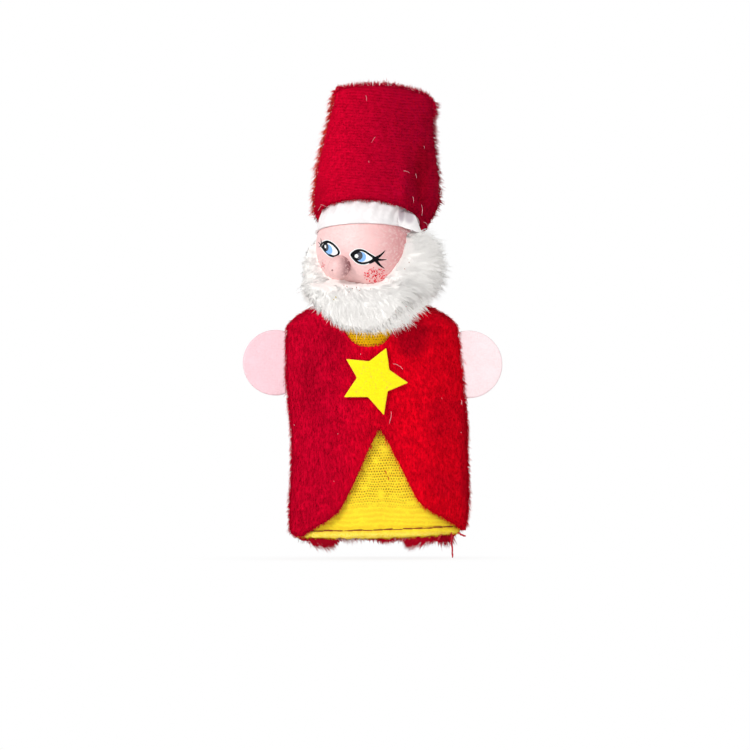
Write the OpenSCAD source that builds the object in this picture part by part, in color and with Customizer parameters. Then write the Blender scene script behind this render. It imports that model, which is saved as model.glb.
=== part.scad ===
/* [Head] */
// Diameter of the turned wooden head
ball_d = 28; // [27:0.2:29]
// Height of the head's centre above the mouth of the finger bore
ball_z = 18.1; // [17.8:0.1:19]
// Outside diameter of the neck spigot
spigot_d = 16.8; // [16.4:0.1:17]
// Diameter of the finger bore
bore_d = 14; // [12:0.2:14.4]
// Depth of the finger bore
bore_depth = 17; // [12:0.5:20]
// Depth of the groove that the neck thread sits in
groove_depth = 0.7; // [0.4:0.05:0.8]
// Diameter of the round nose
nose_d = 6.6; // [5.5:0.1:7.5]
// Angle of the nose to the wearer's right of straight ahead
nose_turn = 30.8; // [0:0.2:45]
// Angle of the nose below the horizontal
nose_dip = 23.6; // [0:0.2:30]
// Diameter of the peg that holds the nose
nose_peg_d = 3; // [2:0.1:3.6]

/* [Hair and band] */
// Thickness of the white band round the forehead
band_t = 0.8; // [0.5:0.05:1]
// Angle of the band's lower edge above the head's centre
band_low = 15.8; // [13:0.2:18]
// Backward tilt of the band
band_tilt = 10.7; // [6:0.1:14]
// Length of the beard below the bore mouth
beard_drop = 6; // [3:0.2:6.4]
// Thickness of the hair at the back of the head
hair_t = 3.6; // [2:0.1:4.2]

/* [Hat] */
// Height of the hat's top above the bore mouth
hat_top = 65.2; // [55:0.2:75]
// Thickness of the hat's plush
hat_wall = 2; // [1.4:0.1:2.4]
// Half width of the hat at its rim
hat_rim_half_w = 16.3; // [16:0.1:17.5]
// Half width of the hat at its widest
hat_belly_half_w = 18.2; // [17.5:0.1:19.5]
// Half width of the hat at its top seam
hat_top_half_w = 14.4; // [12:0.1:16]
// Half depth of the hat at its rim
hat_rim_half_d = 13.5; // [13.5:0.1:15]
// Half depth of the hat under its top seam
hat_top_half_d = 5; // [4:0.1:7]
// Diameter of the sewing thread in the hat
hat_thread_d = 0.5; // [0.3:0.05:0.6]

/* [Robe] */
// Half width of the robe at the end of the shoulder seam
shoulder_half_w = 24.9; // [24.2:0.1:25.4]
// Half width of the robe at the waist
waist_half_w = 25.7; // [25:0.1:27]
// Half width of the robe near its hem
hem_half_w = 26.2; // [25.4:0.1:29]
// Half width of the gathered collar
collar_half_w = 15.9; // [15.4:0.1:16.6]
// Depth of the shoulder seam's end below the bore mouth
shoulder_drop = 5.5; // [5:0.1:6.5]
// Sideways hang of the robe at the waist
robe_lean = 4.5; // [2:0.1:5]
// Half depth of the finger space inside the robe
tunnel_half_d = 7.7; // [7.5:0.1:8.2]
// Length of the tunic below the bore mouth
tunic_len = 66.8; // [60:0.2:75]
// Length of the coat below the bore mouth
coat_len = 68; // [64:0.2:80]
// Thickness of the tunic's knit
knit_t = 0.7; // [0.5:0.05:0.9]
// Thickness of the coat's plush
plush_t = 1.7; // [1.3:0.1:2]
// Air between the tunic and the coat
layer_gap = 0.5; // [0.45:0.05:0.6]
// Depth of the scooped neckline below the bore mouth
neckline_drop = 11.3; // [9:0.1:13]
// Half width of the scooped neckline
neckline_half_w = 10.2; // [8:0.1:11]
// Depth of the cutaway's apex below the bore mouth
cutaway_drop = 34.5; // [33:0.2:42]
// Depth of the folds in the coat
fold_depth = 0.9; // [0:0.05:1]

/* [Star and hands] */
// Radius of the star's points
star_r = 10.5; // [7:0.1:11]
// Radius of the star's inner corners
star_inner_r = 5.6; // [3:0.1:6]
// Thickness of the star's felt
star_t = 1; // [0.8:0.1:1.4]
// Radius of the left hand
hand_left_r = 9.8; // [8:0.1:10.4]
// Radius of the right hand
hand_right_r = 10.1; // [8:0.1:10.6]
// Thickness of the hands' felt
hand_t = 1.2; // [0.8:0.1:1.6]

/* [Threads] */
// Diameter of the thread that ties the neck
tie_d = 0.6; // [0.4:0.05:0.6]
// Diameter of the gathering thread
gather_d = 0.7; // [0.5:0.05:0.7]
// Diameter of the hem stitches
stitch_d = 0.3; // [0.2:0.05:0.3]
// Length of one hem stitch
stitch_len = 2.1; // [1:0.1:2.3]
// Distance from stitch to stitch
stitch_pitch = 2.9; // [2.6:0.1:4]
// Thickness of the side seams
seam_t = 0.5; // [0.3:0.05:0.5]

/* [Hidden] */
$fn = 96;
fit_gap = 0.05;
soft_gap = 0.3;
ball_r = ball_d / 2;
spigot_r = spigot_d / 2;

// The cloth neck turns on the spigot and tips inside the robe's collar, both about the origin
neck_t = 0.55;
groove_z = 2.6;
groove_half_h = 0.7;
groove_slope_h = 0.5;
neck_ball_r = spigot_r + 1.1;
neck_inner_r = neck_ball_r - 0.6;
neck_low_angle = 13;
socket_r = neck_ball_r + soft_gap;
gather_angle = 29;
gather_r = (neck_inner_r + neck_ball_r) / 2 - 0.15;

// The band is a zone of a ball laid on the head
band_r = ball_r + fit_gap + band_t;
band_top_z = 11.8;

// Fur hangs from the head between the face line and the lower edge
fur_root_r = ball_r + 0.32;
fur_gap = 2;
beard_from = -188;
beard_to = -26;
fur_steps = 30;
fur_puff = 2.4;
fur_body_t = 2.4;
fur_tip_t = 1.6;
fur_root_angle = -47.8;

// The hat's rim is high in front and low behind
hat_rim_mid = 25.8;
hat_rim_rise = 5.6;
hat_rim_roll = 1.3;
hat_back = 3.65;
hat_lean = 3.2;
hat_edge_half_d = 1.1;
hat_cols = 36;
hat_seat_r = band_r + 0.2;
hat_stitches = 9;

// The robe's layers are counted outward from the finger space
collar_top = 0.9;
seam_half = seam_t / 2 + fit_gap;
tunic_out = knit_t;
coat_in = knit_t + layer_gap;
coat_out = coat_in + plush_t;
robe_cols = 28;
robe_steps = [0, 0.1, 0.2, 0.3, 0.4, 0.5, 0.6, 0.7, 0.8, 0.88, 0.92, 0.945, 0.96, 0.975, 1];
cutaway_reach = 0.95;
front_rise = [0.5, 4];

// Hands hinge on the side seams
hand_left_z = -15.9;
hand_left_out = 2.4;
hand_right_z = -16.4;
hand_right_out = 1.1;

star_x = 2.9;
star_z = -21.1;
star_turn = -2.5;
star_gap = 0.25;
stitch_rise = 2.2;
stitch_reach = 0.78;

function lerp(a, b, t) = a + (b - a) * t;
function ease(t) = let (c = max(0, min(1, t))) c * c * (3 - 2 * c);
function bump(x, centre, width) = exp(-pow((x - centre) / width, 2));

// Half width of the coat at a height, from the collar down to the hem
function shoulder_w(z) =
    let (s = (z + shoulder_drop) / (collar_top + shoulder_drop))
    shoulder_half_w - (shoulder_half_w - collar_half_w) * pow(max(0, min(1, s)), 1.5);
function side_w(z) = lookup(z, [[-coat_len, hem_half_w - 0.6], [-coat_len + 11, hem_half_w],
    [-42, waist_half_w], [-20, waist_half_w + 0.2], [-shoulder_drop, shoulder_half_w]]);
function robe_w(z) = z > -shoulder_drop ? shoulder_w(z) : side_w(z);

// Middle of the robe at a height: it hangs a little to one side
function robe_x(z) = robe_lean * lookup(z, [[-66, 0.9], [-50, 1.03], [-36, 1], [-20, 0.7],
    [-8, 0.54], [0, 0.5]]);

// Half depth of the finger space, which opens into the round collar at the top
function tunnel_d(z) = tunnel_half_d
    + (socket_r - tunnel_half_d) * pow(max(0, min(1, (z + 14) / 12.8)), 2);

// Cross-sections go from a lens with sewn sides to an oval at the collar
function side_power(z) = lerp(1.5, 1, ease((z + 8) / 6));

// Folds of the hanging cloth, as distance outward from the finger space
function front_fold(x, z) = fold_depth * (
    1.1 * bump(x, 18.5 - 0.05 * (z + 40), 4.6) * ease((-z - 12) / 18)
    - 0.8 * bump(x, 9 + 0.1 * (z + 40), 3.2) * ease((-z - 30) / 14)
    - 0.9 * bump(x, -7.5, 3.6) * ease((-z - 18) / 16)
    + 0.9 * bump(x, -14.5 + 0.04 * (z + 40), 4) * ease((-z - 14) / 22));
function back_fold(x, z) = fold_depth * (
    0.9 * bump(x, -9, 5) * ease((-z - 16) / 22)
    - 0.7 * bump(x, 3, 3.6) * ease((-z - 26) / 18)
    + bump(x, 14 - 0.05 * (z + 40), 5) * ease((-z - 12) / 24));
function fold(side, x, z) = side < 0 ? front_fold(x, z) : back_fold(x, z);

// Point of the robe on one side, at an angle round it, a height and a distance out
function robe_pt(side, a, z, out) =
    let (x = robe_x(z) + (robe_w(z) - coat_out + out) * sin(a),
        deep = (tunnel_d(z) + out) * pow(cos(a), side_power(z)))
    [x, side * (seam_half + deep + fold(side, x, z) * cos(a)), z];

// Inside of the tunic: the finger space, closing to the round collar hole
function tunnel_pt(side, a, z) =
    let (p = robe_pt(side, a, z, 0), t = ease((z + 3.2) / 2))
    [lerp(p[0], socket_r * sin(a), t), lerp(p[1], side * (seam_half + socket_r * cos(a)), t), z];

function robe_angle(col) = -90 + 180 * col / robe_cols;
function tunic_hem_z(a) = -tunic_len + 0.9 * pow(sin(a), 2) + 0.5 * sin(a);

// Lower edge of the coat front: the cutaway rises from both sides to its apex. Its left and
// right ends lie above the back's hem by the two lengths in front_rise.
function cutaway_z(a) =
    let (u = sin(a), rise = u < 0 ? front_rise[0] : front_rise[1])
    -cutaway_drop - (coat_len - cutaway_drop - rise) * sin(90 * min(1, abs(u) / cutaway_reach));

// Upper edge of the coat front: a scoop between the shoulders
function neckline_z(a) =
    let (u = abs(sin(a) + 0.045) * (shoulder_half_w / neckline_half_w))
    collar_top - (neckline_drop + collar_top) * max(0, 1 - pow(u, 3));

function robe_grid(side, out, low, high) = [for (s = robe_steps) [for (col = [0:robe_cols])
    let (a = robe_angle(col)) robe_pt(side, a, lerp(low[col], high[col], s), out)]];
function tunnel_grid(side, low, high) = [for (s = robe_steps) [for (col = [0:robe_cols])
    let (a = robe_angle(col)) tunnel_pt(side, a, lerp(low[col], high[col], s))]];
function along(value) = [for (col = [0:robe_cols]) value];
function flat_list(rows) = [for (row = rows) each row];

// Cloth between an outer and an inner sheet of points, each row running left to right
module cloth(outer, inner, side) {
    rows = len(outer);
    cols = len(outer[0]);
    n = rows * cols;
    function at(r, c) = r * cols + c;
    faces = [
        for (r = [0:rows - 2], c = [0:cols - 2]) each [
            [at(r, c), at(r + 1, c), at(r + 1, c + 1)],
            [at(r, c), at(r + 1, c + 1), at(r, c + 1)],
            [n + at(r, c), n + at(r + 1, c + 1), n + at(r + 1, c)],
            [n + at(r, c), n + at(r, c + 1), n + at(r + 1, c + 1)]],
        for (c = [0:cols - 2]) each [
            [at(0, c), at(0, c + 1), n + at(0, c + 1)],
            [at(0, c), n + at(0, c + 1), n + at(0, c)],
            [at(rows - 1, c + 1), at(rows - 1, c), n + at(rows - 1, c)],
            [at(rows - 1, c + 1), n + at(rows - 1, c), n + at(rows - 1, c + 1)]],
        for (r = [0:rows - 2]) each [
            [at(r + 1, 0), at(r, 0), n + at(r, 0)],
            [at(r + 1, 0), n + at(r, 0), n + at(r + 1, 0)],
            [at(r, cols - 1), at(r + 1, cols - 1), n + at(r + 1, cols - 1)],
            [at(r, cols - 1), n + at(r + 1, cols - 1), n + at(r, cols - 1)]]];
    polyhedron(concat(flat_list(outer), flat_list(inner)),
        side < 0 ? faces : [for (f = faces) [f[0], f[2], f[1]]]);
}

// Bag between closed rings that run counterclockwise, open below and closed on top
module bag(outer, inner, outer_tip, inner_tip) {
    cols = len(outer[0]);
    rows = len(outer);
    inner_rows = len(inner);
    n = rows * cols;
    tip = n + inner_rows * cols;
    function at(r, c) = r * cols + c % cols;
    polyhedron(concat(flat_list(outer), flat_list(inner), [outer_tip, inner_tip]), [
        for (r = [0:rows - 2], c = [0:cols - 1]) each [
            [at(r, c), at(r + 1, c), at(r + 1, c + 1)], [at(r, c), at(r + 1, c + 1), at(r, c + 1)]],
        for (r = [0:inner_rows - 2], c = [0:cols - 1]) each [
            [n + at(r, c), n + at(r + 1, c + 1), n + at(r + 1, c)],
            [n + at(r, c), n + at(r, c + 1), n + at(r + 1, c + 1)]],
        for (c = [0:cols - 1]) each [
            [tip, at(rows - 1, c + 1), at(rows - 1, c)],
            [tip + 1, n + at(inner_rows - 1, c), n + at(inner_rows - 1, c + 1)],
            [at(0, c), at(0, c + 1), n + at(0, c + 1)], [at(0, c), n + at(0, c + 1), n + at(0, c)]]]);
}

// Solid swept through closed outlines with as many points each
module sweep(sections) {
    k = len(sections[0]);
    last = len(sections) - 1;
    polyhedron(flat_list(sections), [
        for (j = [0:last - 1], i = [0:k - 1])
            let (a = j * k + i, b = j * k + (i + 1) % k) each [[a, a + k, b + k], [a, b + k, b]],
        [for (i = [0:k - 1]) i],
        [for (i = [k - 1:-1:0]) last * k + i]]);
}

// Places children along +Z on the line from the head's centre through the nose
module nose_axis() {
    translate([0, 0, ball_z]) rotate([0, 0, -nose_turn]) rotate([90 + nose_dip, 0, 0]) children();
}

module head_ball() color([0.96, 0.78, 0.78]) difference() {
    union() {
        translate([0, 0, ball_z]) sphere(ball_r);
        cylinder(r = spigot_r, h = ball_z - ball_r / 2);
    }
    translate([0, 0, -1]) cylinder(d = bore_d, h = bore_depth + 1);
    rotate_extrude() polygon([
        [spigot_r + 1, groove_z - groove_half_h - groove_slope_h],
        [spigot_r, groove_z - groove_half_h - groove_slope_h],
        [spigot_r - groove_depth, groove_z - groove_half_h],
        [spigot_r - groove_depth, groove_z + groove_half_h],
        [spigot_r, groove_z + groove_half_h + groove_slope_h],
        [spigot_r + 1, groove_z + groove_half_h + groove_slope_h]]);
    nose_axis() translate([0, 0, ball_r - 3]) cylinder(d = nose_peg_d + 2 * fit_gap, h = 4);
}

module nose() color([0.78, 0.6, 0.65]) {
    bulb_z = ball_r + nose_d * 0.27;
    difference() {
        nose_axis() union() {
            translate([0, 0, bulb_z]) sphere(d = nose_d);
            translate([0, 0, ball_r - 1]) cylinder(d1 = nose_d * 0.95, d2 = nose_d * 0.8, h = 2);
        }
        translate([0, 0, ball_z]) sphere(ball_r + 0.03);
    }
    nose_axis() translate([0, 0, ball_r - 2.8]) cylinder(d = nose_peg_d, h = 4);
}

// Elevation of the face line on the head, seen from its centre, round the head
function face_line(az) = lookup(az, [[-188, 12], [-180, -26], [-173, -36], [-150, -43],
    [-123, -44], [-108, -46], [-90, -46.5], [-76, -46], [-58, -41], [-48, -28], [-39, -15.7],
    [-32, 2.8], [-26, 15]]);
function band_edge(az) = band_low - band_tilt * sin(az) - fur_gap;
// The robe hangs to the right, so the beard lifts sooner on that side
function beard_side(az) = az > -90 ? 1.3 * (az + 90) : -90 - az;
function beard_low(az) = -beard_drop + lookup(beard_side(az), [[0, 0], [15, 0.3], [28, 2],
    [40, 5.7], [52, 9.7], [65, 11.2], [98, 11.6]]);
function beard_r(az) = lookup(beard_side(az), [[0, 16.8], [15, 17.2], [28, 18.2], [40, 19.6],
    [52, 19.8], [65, 18.6], [98, 16.4]]);

// Outline of the fur at an azimuth: over the outside, round the tip and back along the inside
function fur_section(az, top, tip_r, low, puff) =
    let (drop = low - ball_z, tip_len = norm([tip_r, drop]), tip_angle = atan2(drop, tip_r),
        root = min(fur_root_angle, top - 1.2), tip_in = [tip_r - fur_tip_t, low + 0.3])
    [for (q = concat(
        [for (t = [0, 0.12, 0.35, 0.6, 0.82, 1])
            let (swell = max(0, sin(180 * t)), angle = lerp(top, tip_angle, t),
                len = lerp(fur_root_r, tip_len, t) + puff * pow(swell, 0.6),
                p = [len * cos(angle), ball_z + len * sin(angle)])
            t == 0 ? p : clear_robe(p, az, fur_body_t * pow(swell, 0.3))],
        [for (t = [0, 0.3, 0.6]) clear_robe(lerp(tip_in, fur_root(root), t), az, 0)],
        [for (t = [0, 0.17, 0.33, 0.5, 0.67, 0.83]) fur_root(lerp(root, top, t))]))
        [q[0] * cos(az), q[0] * sin(az), q[1]]];
function fur_root(angle) = [fur_root_r * cos(angle), ball_z + fur_root_r * sin(angle)];
// The robe's collar swings about the origin, so the beard stays outside it, by more where it is thick
function clear_robe(p, az, more) =
    let (angle = atan2(p[1], p[0]), swing = az > 0 ? 0 : lookup(beard_side(az),
            [[0, 13.6], [15, 14.3], [28, 15.7], [40, 17.6], [52, 18.6]]),
        keep = lerp(swing, 9.5, max(0, min(1, (angle - 18) / 18))) + more)
    p * max(1, keep / norm(p));

module beard() color([0.96, 0.95, 0.94]) sweep([for (i = [0:fur_steps])
    let (az = lerp(beard_from, beard_to, i / fur_steps), tuft = 0.35 * sin(az * 9))
    fur_section(az, face_line(az), beard_r(az) + tuft, beard_low(az), fur_puff + tuft)]);

module back_hair() color([0.94, 0.93, 0.92]) sweep([for (i = [0:fur_steps])
    let (az = lerp(beard_to + 1.2, beard_from + 358.8, i / fur_steps), tuft = 0.3 * sin(az * 8))
    fur_section(az, band_edge(az), fur_root_r + hair_t - 1.8 + tuft, 5.4, hair_t - 0.8 + tuft)]);

module forehead_band() color([0.95, 0.94, 0.94])
    translate([0, 0, ball_z]) rotate([-band_tilt, 0, 0]) intersection() {
        difference() {
            sphere(band_r);
            sphere(ball_r + fit_gap);
        }
        translate([0, 0, band_r * sin(band_low)])
            cylinder(r = band_r + 1, h = band_top_z - band_r * sin(band_low));
    }

function hat_w(s) = lookup(s, [[0, hat_rim_half_w], [0.18, hat_belly_half_w],
    [0.4, hat_belly_half_w - 0.7], [0.75, lerp(hat_belly_half_w, hat_top_half_w, 0.75)],
    [1, hat_top_half_w]]);
function hat_d(s) = max(hat_edge_half_d,
    lerp(hat_top_half_d, hat_rim_half_d, pow(1 - s, 1.6)) * sqrt(1 - pow(s, 10)));
function hat_x(s) = lookup(s, [[0, 2], [0.2, 3.9], [0.5, 4.3], [0.8, 5.2], [1, 6]]);
function hat_rim_z(az) = hat_rim_mid - hat_rim_rise * sin(az) - hat_rim_roll * cos(az);
function hat_top_z(az) = hat_top - 2.6 * pow(cos(az) + 0.2, 2) - 1.5 * pow(max(0, cos(az)), 12);
// A crease runs up the right of the hat's front and dies out half way
function hat_crease(x, s) = ease((0.62 - s) / 0.4)
    * (1.3 * bump(x, 11.5, 2.6) - 1.1 * bump(x, 16.5, 2.4) - 0.6 * bump(x, 4, 5));
// Keeps the hat outside a ball round the head
function off_head(p, r) =
    let (d = p - [0, 0, ball_z]) [0, 0, ball_z] + d * max(1, r / norm(d));
function hat_pt(az, s, wall) =
    let (x = hat_x(s) + (hat_w(s) - wall) * cos(az),
        crease = az < 0 || az > 180 ? hat_crease(x, s) : 0,
        deep = max(0.3, hat_d(s) - wall) * sin(az),
        y = hat_back + hat_lean * s + deep - crease * abs(sin(az)))
    off_head([x, y, lerp(hat_rim_z(az), hat_top_z(az), s)], hat_seat_r + hat_wall - wall);
function hat_ring(s, wall) = [for (i = [0:hat_cols - 1]) hat_pt(-180 + 360 * i / hat_cols, s, wall)];

module hat() color([0.78, 0.02, 0.14]) bag(
    [for (s = [0, 0.07, 0.15, 0.25, 0.38, 0.52, 0.68, 0.82, 0.92, 0.97, 1]) hat_ring(s, 0)],
    [for (s = [0, 0.07, 0.15, 0.25, 0.38, 0.58, 0.8, 0.92]) hat_ring(s, hat_wall)],
    [hat_x(1), hat_back + hat_lean, hat_top - 0.8],
    [hat_x(1), hat_back + hat_lean, hat_top - 5]);

module hat_top_stitches() color([0.6, 0, 0.08])
    for (i = [1:hat_stitches]) {
        az = 180 * i / (hat_stitches + 1);
        p = hat_pt(az, 1, 0);
        translate([p[0], hat_back + hat_lean, p[2] + hat_thread_d / 2 + 2 * fit_gap])
            rotate([90, 0, 0]) cylinder(d = hat_thread_d, h = 2.4, center = true, $fn = 24);
    }

module tunic_neck() color([0.93, 0.75, 0.15]) rotate_extrude() polygon(concat(
    [[spigot_r + fit_gap + neck_t, 6.5],
        [spigot_r + fit_gap + neck_t, groove_z + groove_half_h + 2 * groove_slope_h],
        [neck_waist_r + neck_t, groove_z + groove_half_h + groove_slope_h / 2],
        [neck_waist_r + neck_t, groove_z - groove_half_h - groove_slope_h / 2]],
    [for (a = [9:-2:-neck_low_angle]) neck_ball_r * [cos(a), sin(a)]],
    [for (a = [-neck_low_angle:2:7]) neck_inner_r * [cos(a), sin(a)]],
    [[spigot_r + fit_gap, groove_z - groove_half_h - groove_slope_h],
        [neck_waist_r, groove_z - groove_half_h],
        [neck_waist_r, groove_z + groove_half_h],
        [spigot_r + fit_gap, groove_z + groove_half_h + groove_slope_h],
        [spigot_r + fit_gap, 6.5]]));
neck_waist_r = spigot_r - groove_depth + fit_gap;

// Three turns of thread hold the cloth neck in the spigot's groove
module neck_tie() color([0.9, 0.86, 0.8])
    for (turn = [-1:1]) translate([0, 0, groove_z + turn * tie_d])
        rotate_extrude() translate([neck_waist_r + neck_t + tie_d / 2, 0]) circle(d = tie_d, $fn = 24);

module gathering_thread() color([0.85, 0.68, 0.12])
    translate([0, 0, -gather_r * sin(gather_angle)]) rotate_extrude()
        translate([gather_r * cos(gather_angle), 0]) circle(d = gather_d, $fn = 24);

module tunic(side) {
    low = [for (col = [0:robe_cols]) tunic_hem_z(robe_angle(col))];
    cloth(robe_grid(side, tunic_out, low, along(collar_top)),
        tunnel_grid(side, low, along(collar_top)), side);
}
module tunic_front() color([1, 0.82, 0.1]) tunic(-1);
module tunic_back() color([1, 0.82, 0.1]) tunic(1);

module coat_front() color([0.85, 0.02, 0.12]) {
    low = [for (col = [0:robe_cols]) cutaway_z(robe_angle(col))];
    high = [for (col = [0:robe_cols]) neckline_z(robe_angle(col))];
    cloth(robe_grid(-1, coat_out, low, high), robe_grid(-1, coat_in, low, high), -1);
}
module coat_back() color([0.8, 0.02, 0.12]) {
    low = along(-coat_len);
    high = along(collar_top);
    cloth(robe_grid(1, coat_out, low, high), robe_grid(1, coat_in, low, high), 1);
}

// The felt star is cut from a shell that bends with the coat's chest
module star() color([1, 0.95, 0.05]) {
    bend_r = 43;
    back_y = bend_r - tunnel_d(star_z) - coat_out - seam_half - star_gap;
    intersection() {
        translate([star_x, 0, star_z]) rotate([90, 0, 0]) rotate(star_turn) linear_extrude(40)
            polygon([for (i = [0:9])
                (i % 2 == 0 ? star_r : star_inner_r) * [cos(36 * i), sin(36 * i)]]);
        translate([robe_x(star_z), back_y, star_z - 20]) difference() {
            cylinder(r = bend_r + star_t, h = 40, $fn = 180);
            translate([0, 0, -1]) cylinder(r = bend_r, h = 42, $fn = 180);
        }
    }
}

// A straight row of running stitches holds the turned hem
module hem_stitches(side) {
    stitch_z = stitch_rise - tunic_len;
    half_count = floor(stitch_reach * waist_half_w / stitch_pitch);
    for (i = [-half_count:half_count]) {
        a = asin(max(-1, min(1, i * stitch_pitch / (robe_w(stitch_z) - coat_out + tunic_out))));
        out = tunic_out + layer_gap / 2;
        p = robe_pt(side, a, stitch_z, out);
        ahead = robe_pt(side, a + 2, stitch_z, out) - robe_pt(side, a - 2, stitch_z, out);
        translate(p) rotate([0, 0, atan2(ahead[1], ahead[0])]) rotate([0, 90, 0])
            cylinder(d = stitch_d, h = stitch_len, center = true, $fn = 24);
    }
}
module hem_stitches_front() color([0.6, 0.2, 0.05]) hem_stitches(-1);
module hem_stitches_back() color([0.6, 0.2, 0.05]) hem_stitches(1);

// Sewn edges of all four sheets, held between the front and the back
module side_seam(hand) {
    heights = [for (s = [0:0.05:1]) lerp(-tunic_len + 2, -1.5, s)];
    function edge(z, out) = robe_x(z) + hand * (robe_w(z) - coat_out + out);
    ends = hand < 0 ? [coat_out - 0.2, 0] : [0, coat_out - 0.2];
    function sheet(y) = [for (z = heights) [for (out = ends) [edge(z, out), y, z]]];
    color([0.75, 0.05, 0.12]) cloth(sheet(-seam_t / 2), sheet(seam_t / 2), -1);
}
module side_seam_left() side_seam(-1);
module side_seam_right() side_seam(1);

// A hand is a felt disc cut along the seam, with a round root that it hinges on
function seam_x(hand, z) = robe_x(z) + hand * (robe_w(z) + soft_gap + hand_t / 2);
function hand_low_z(z, r) = z - 0.94 * r;
function hand_high_z(z, r) = z + 0.94 * r;
module hand(hand, z, r, out) color([0.97, 0.83, 0.85]) {
    low = [seam_x(hand, hand_low_z(z, r)), 0, hand_low_z(z, r)];
    high = [seam_x(hand, hand_high_z(z, r)), 0, hand_high_z(z, r)];
    slant = atan2(high[0] - low[0], high[2] - low[2]);
    root_len = 2 * sqrt(r * r - out * out);
    translate((low + high) / 2) rotate([0, slant, 0]) {
        intersection() {
            translate([hand * out, 0, 0]) rotate([90, 0, 0]) cylinder(r = r, h = hand_t, center = true);
            translate([hand * 2 * r, 0, 0]) cube([4 * r, 4 * r, 4 * r], center = true);
        }
        cylinder(d = hand_t, h = root_len - 0.4, center = true);
    }
}
module hand_left() hand(-1, hand_left_z, hand_left_r, hand_left_out);
module hand_right() hand(1, hand_right_z, hand_right_r, hand_right_out);

head_ball();
nose();
beard();
back_hair();
forehead_band();
hat();
hat_top_stitches();
tunic_neck();
neck_tie();
gathering_thread();
tunic_front();
tunic_back();
coat_front();
coat_back();
star();
hem_stitches_front();
hem_stitches_back();
side_seam_left();
side_seam_right();
hand_left();
hand_right();
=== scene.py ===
"""Looks of a finger puppet: painted wooden head, white fur, plush hat and coat, yellow knit and felt."""

import math

import bpy
import numpy as np
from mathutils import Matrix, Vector, kdtree, noise


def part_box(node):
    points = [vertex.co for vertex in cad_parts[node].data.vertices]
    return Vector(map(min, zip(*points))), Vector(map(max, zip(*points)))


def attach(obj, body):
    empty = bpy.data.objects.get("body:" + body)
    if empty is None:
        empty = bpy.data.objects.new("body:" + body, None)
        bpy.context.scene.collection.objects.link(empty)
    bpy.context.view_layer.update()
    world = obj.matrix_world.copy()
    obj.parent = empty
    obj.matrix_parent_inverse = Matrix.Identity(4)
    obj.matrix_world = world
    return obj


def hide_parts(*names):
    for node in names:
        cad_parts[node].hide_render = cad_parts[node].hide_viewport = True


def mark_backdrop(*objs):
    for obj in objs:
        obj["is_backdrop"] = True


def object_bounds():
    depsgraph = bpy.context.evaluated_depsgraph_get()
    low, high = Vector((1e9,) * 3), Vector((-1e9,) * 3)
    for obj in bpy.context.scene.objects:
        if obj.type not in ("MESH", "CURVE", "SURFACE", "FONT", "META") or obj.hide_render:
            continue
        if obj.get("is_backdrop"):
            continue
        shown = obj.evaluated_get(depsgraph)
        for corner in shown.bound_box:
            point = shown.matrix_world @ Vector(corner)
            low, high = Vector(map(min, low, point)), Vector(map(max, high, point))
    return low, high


bl_info = {
    "name": "Finger puppet looks",
    "version": (1, 0, 0),
    "blender": (4, 5, 0),
    "location": "View3D > Sidebar > Puppet",
    "description": "Dresses the packed finger puppet with paint, fur, plush, knit and felt",
    "category": "Object",
}

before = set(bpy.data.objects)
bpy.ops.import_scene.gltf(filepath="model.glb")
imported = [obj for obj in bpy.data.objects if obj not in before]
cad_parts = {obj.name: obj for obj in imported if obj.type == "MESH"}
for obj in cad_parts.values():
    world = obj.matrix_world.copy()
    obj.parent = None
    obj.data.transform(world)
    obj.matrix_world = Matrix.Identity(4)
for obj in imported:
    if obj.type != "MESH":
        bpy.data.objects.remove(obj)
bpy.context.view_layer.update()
MM = 0.001

# Head, in millimetres, as the frame has it
BALL_LOW, BALL_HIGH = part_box("head_ball")
BALL_R = (BALL_HIGH[0] - BALL_LOW[0]) / 2 / MM
BALL_Z = BALL_HIGH[2] / MM - BALL_R
BALL_CENTRE = np.array([0, 0, BALL_Z])
NOSE_TURN = 30.8
NOSE_DIP = 23.6
BAND_T = 0.8
BAND_LOW = 15.8
BAND_TILT = 10.7
BAND_TOP_Z = 11.8
BAND_R = BALL_R + 0.05 + BAND_T
BAND_LINING_R = BALL_R + 0.07
BAND_MEAN_HEIGHT = 8.5

# Hat, whose s runs from 0 at the rim to 1 at the top
HAT_TOP = 65.2
HAT_WALL = 2
HAT_RIM_HALF_W = 16.3
HAT_BELLY_HALF_W = 18.2
HAT_TOP_HALF_W = 14.4
HAT_RIM_HALF_D = 13.5
HAT_TOP_HALF_D = 5
HAT_EDGE_HALF_D = 1.1
HAT_RIM_MID = 25.8
HAT_RIM_RISE = 5.6
HAT_RIM_ROLL = 1.3
HAT_BACK = 3.65
HAT_LEAN = 3.2
HAT_SEAT_R = BAND_R + 0.2

# Robe: layers are counted outward from the finger space, and a panel's width and length are laid flat
SHOULDER_HALF_W = 24.9
WAIST_HALF_W = 25.7
HEM_HALF_W = 26.2
COLLAR_HALF_W = 15.9
SHOULDER_DROP = 5.5
ROBE_LEAN = 4.5
TUNNEL_HALF_D = 7.7
SOCKET_R = 9.8
COLLAR_TOP = 0.9
TUNIC_LEN = 66.8
COAT_LEN = 68
KNIT_T = 0.7
COAT_IN = 1.2
COAT_OUT = 2.9
SEAM_HALF = 0.3
NECKLINE_DROP = 11.3
NECKLINE_HALF_W = 10.2
CUTAWAY_DROP = 34.5
CUTAWAY_REACH = 0.95
FRONT_RISE = (0.5, 4)
FOLD_DEPTH = 0.9
STITCH_Z = -64.6
STITCH_PITCH = 2.9
STITCH_LEN = 2.85
KNIT_ROW = 1.5
KNIT_STITCH = 0.74
PANEL_WIDTH = 58
PANEL_LENGTH = 67.5

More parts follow.
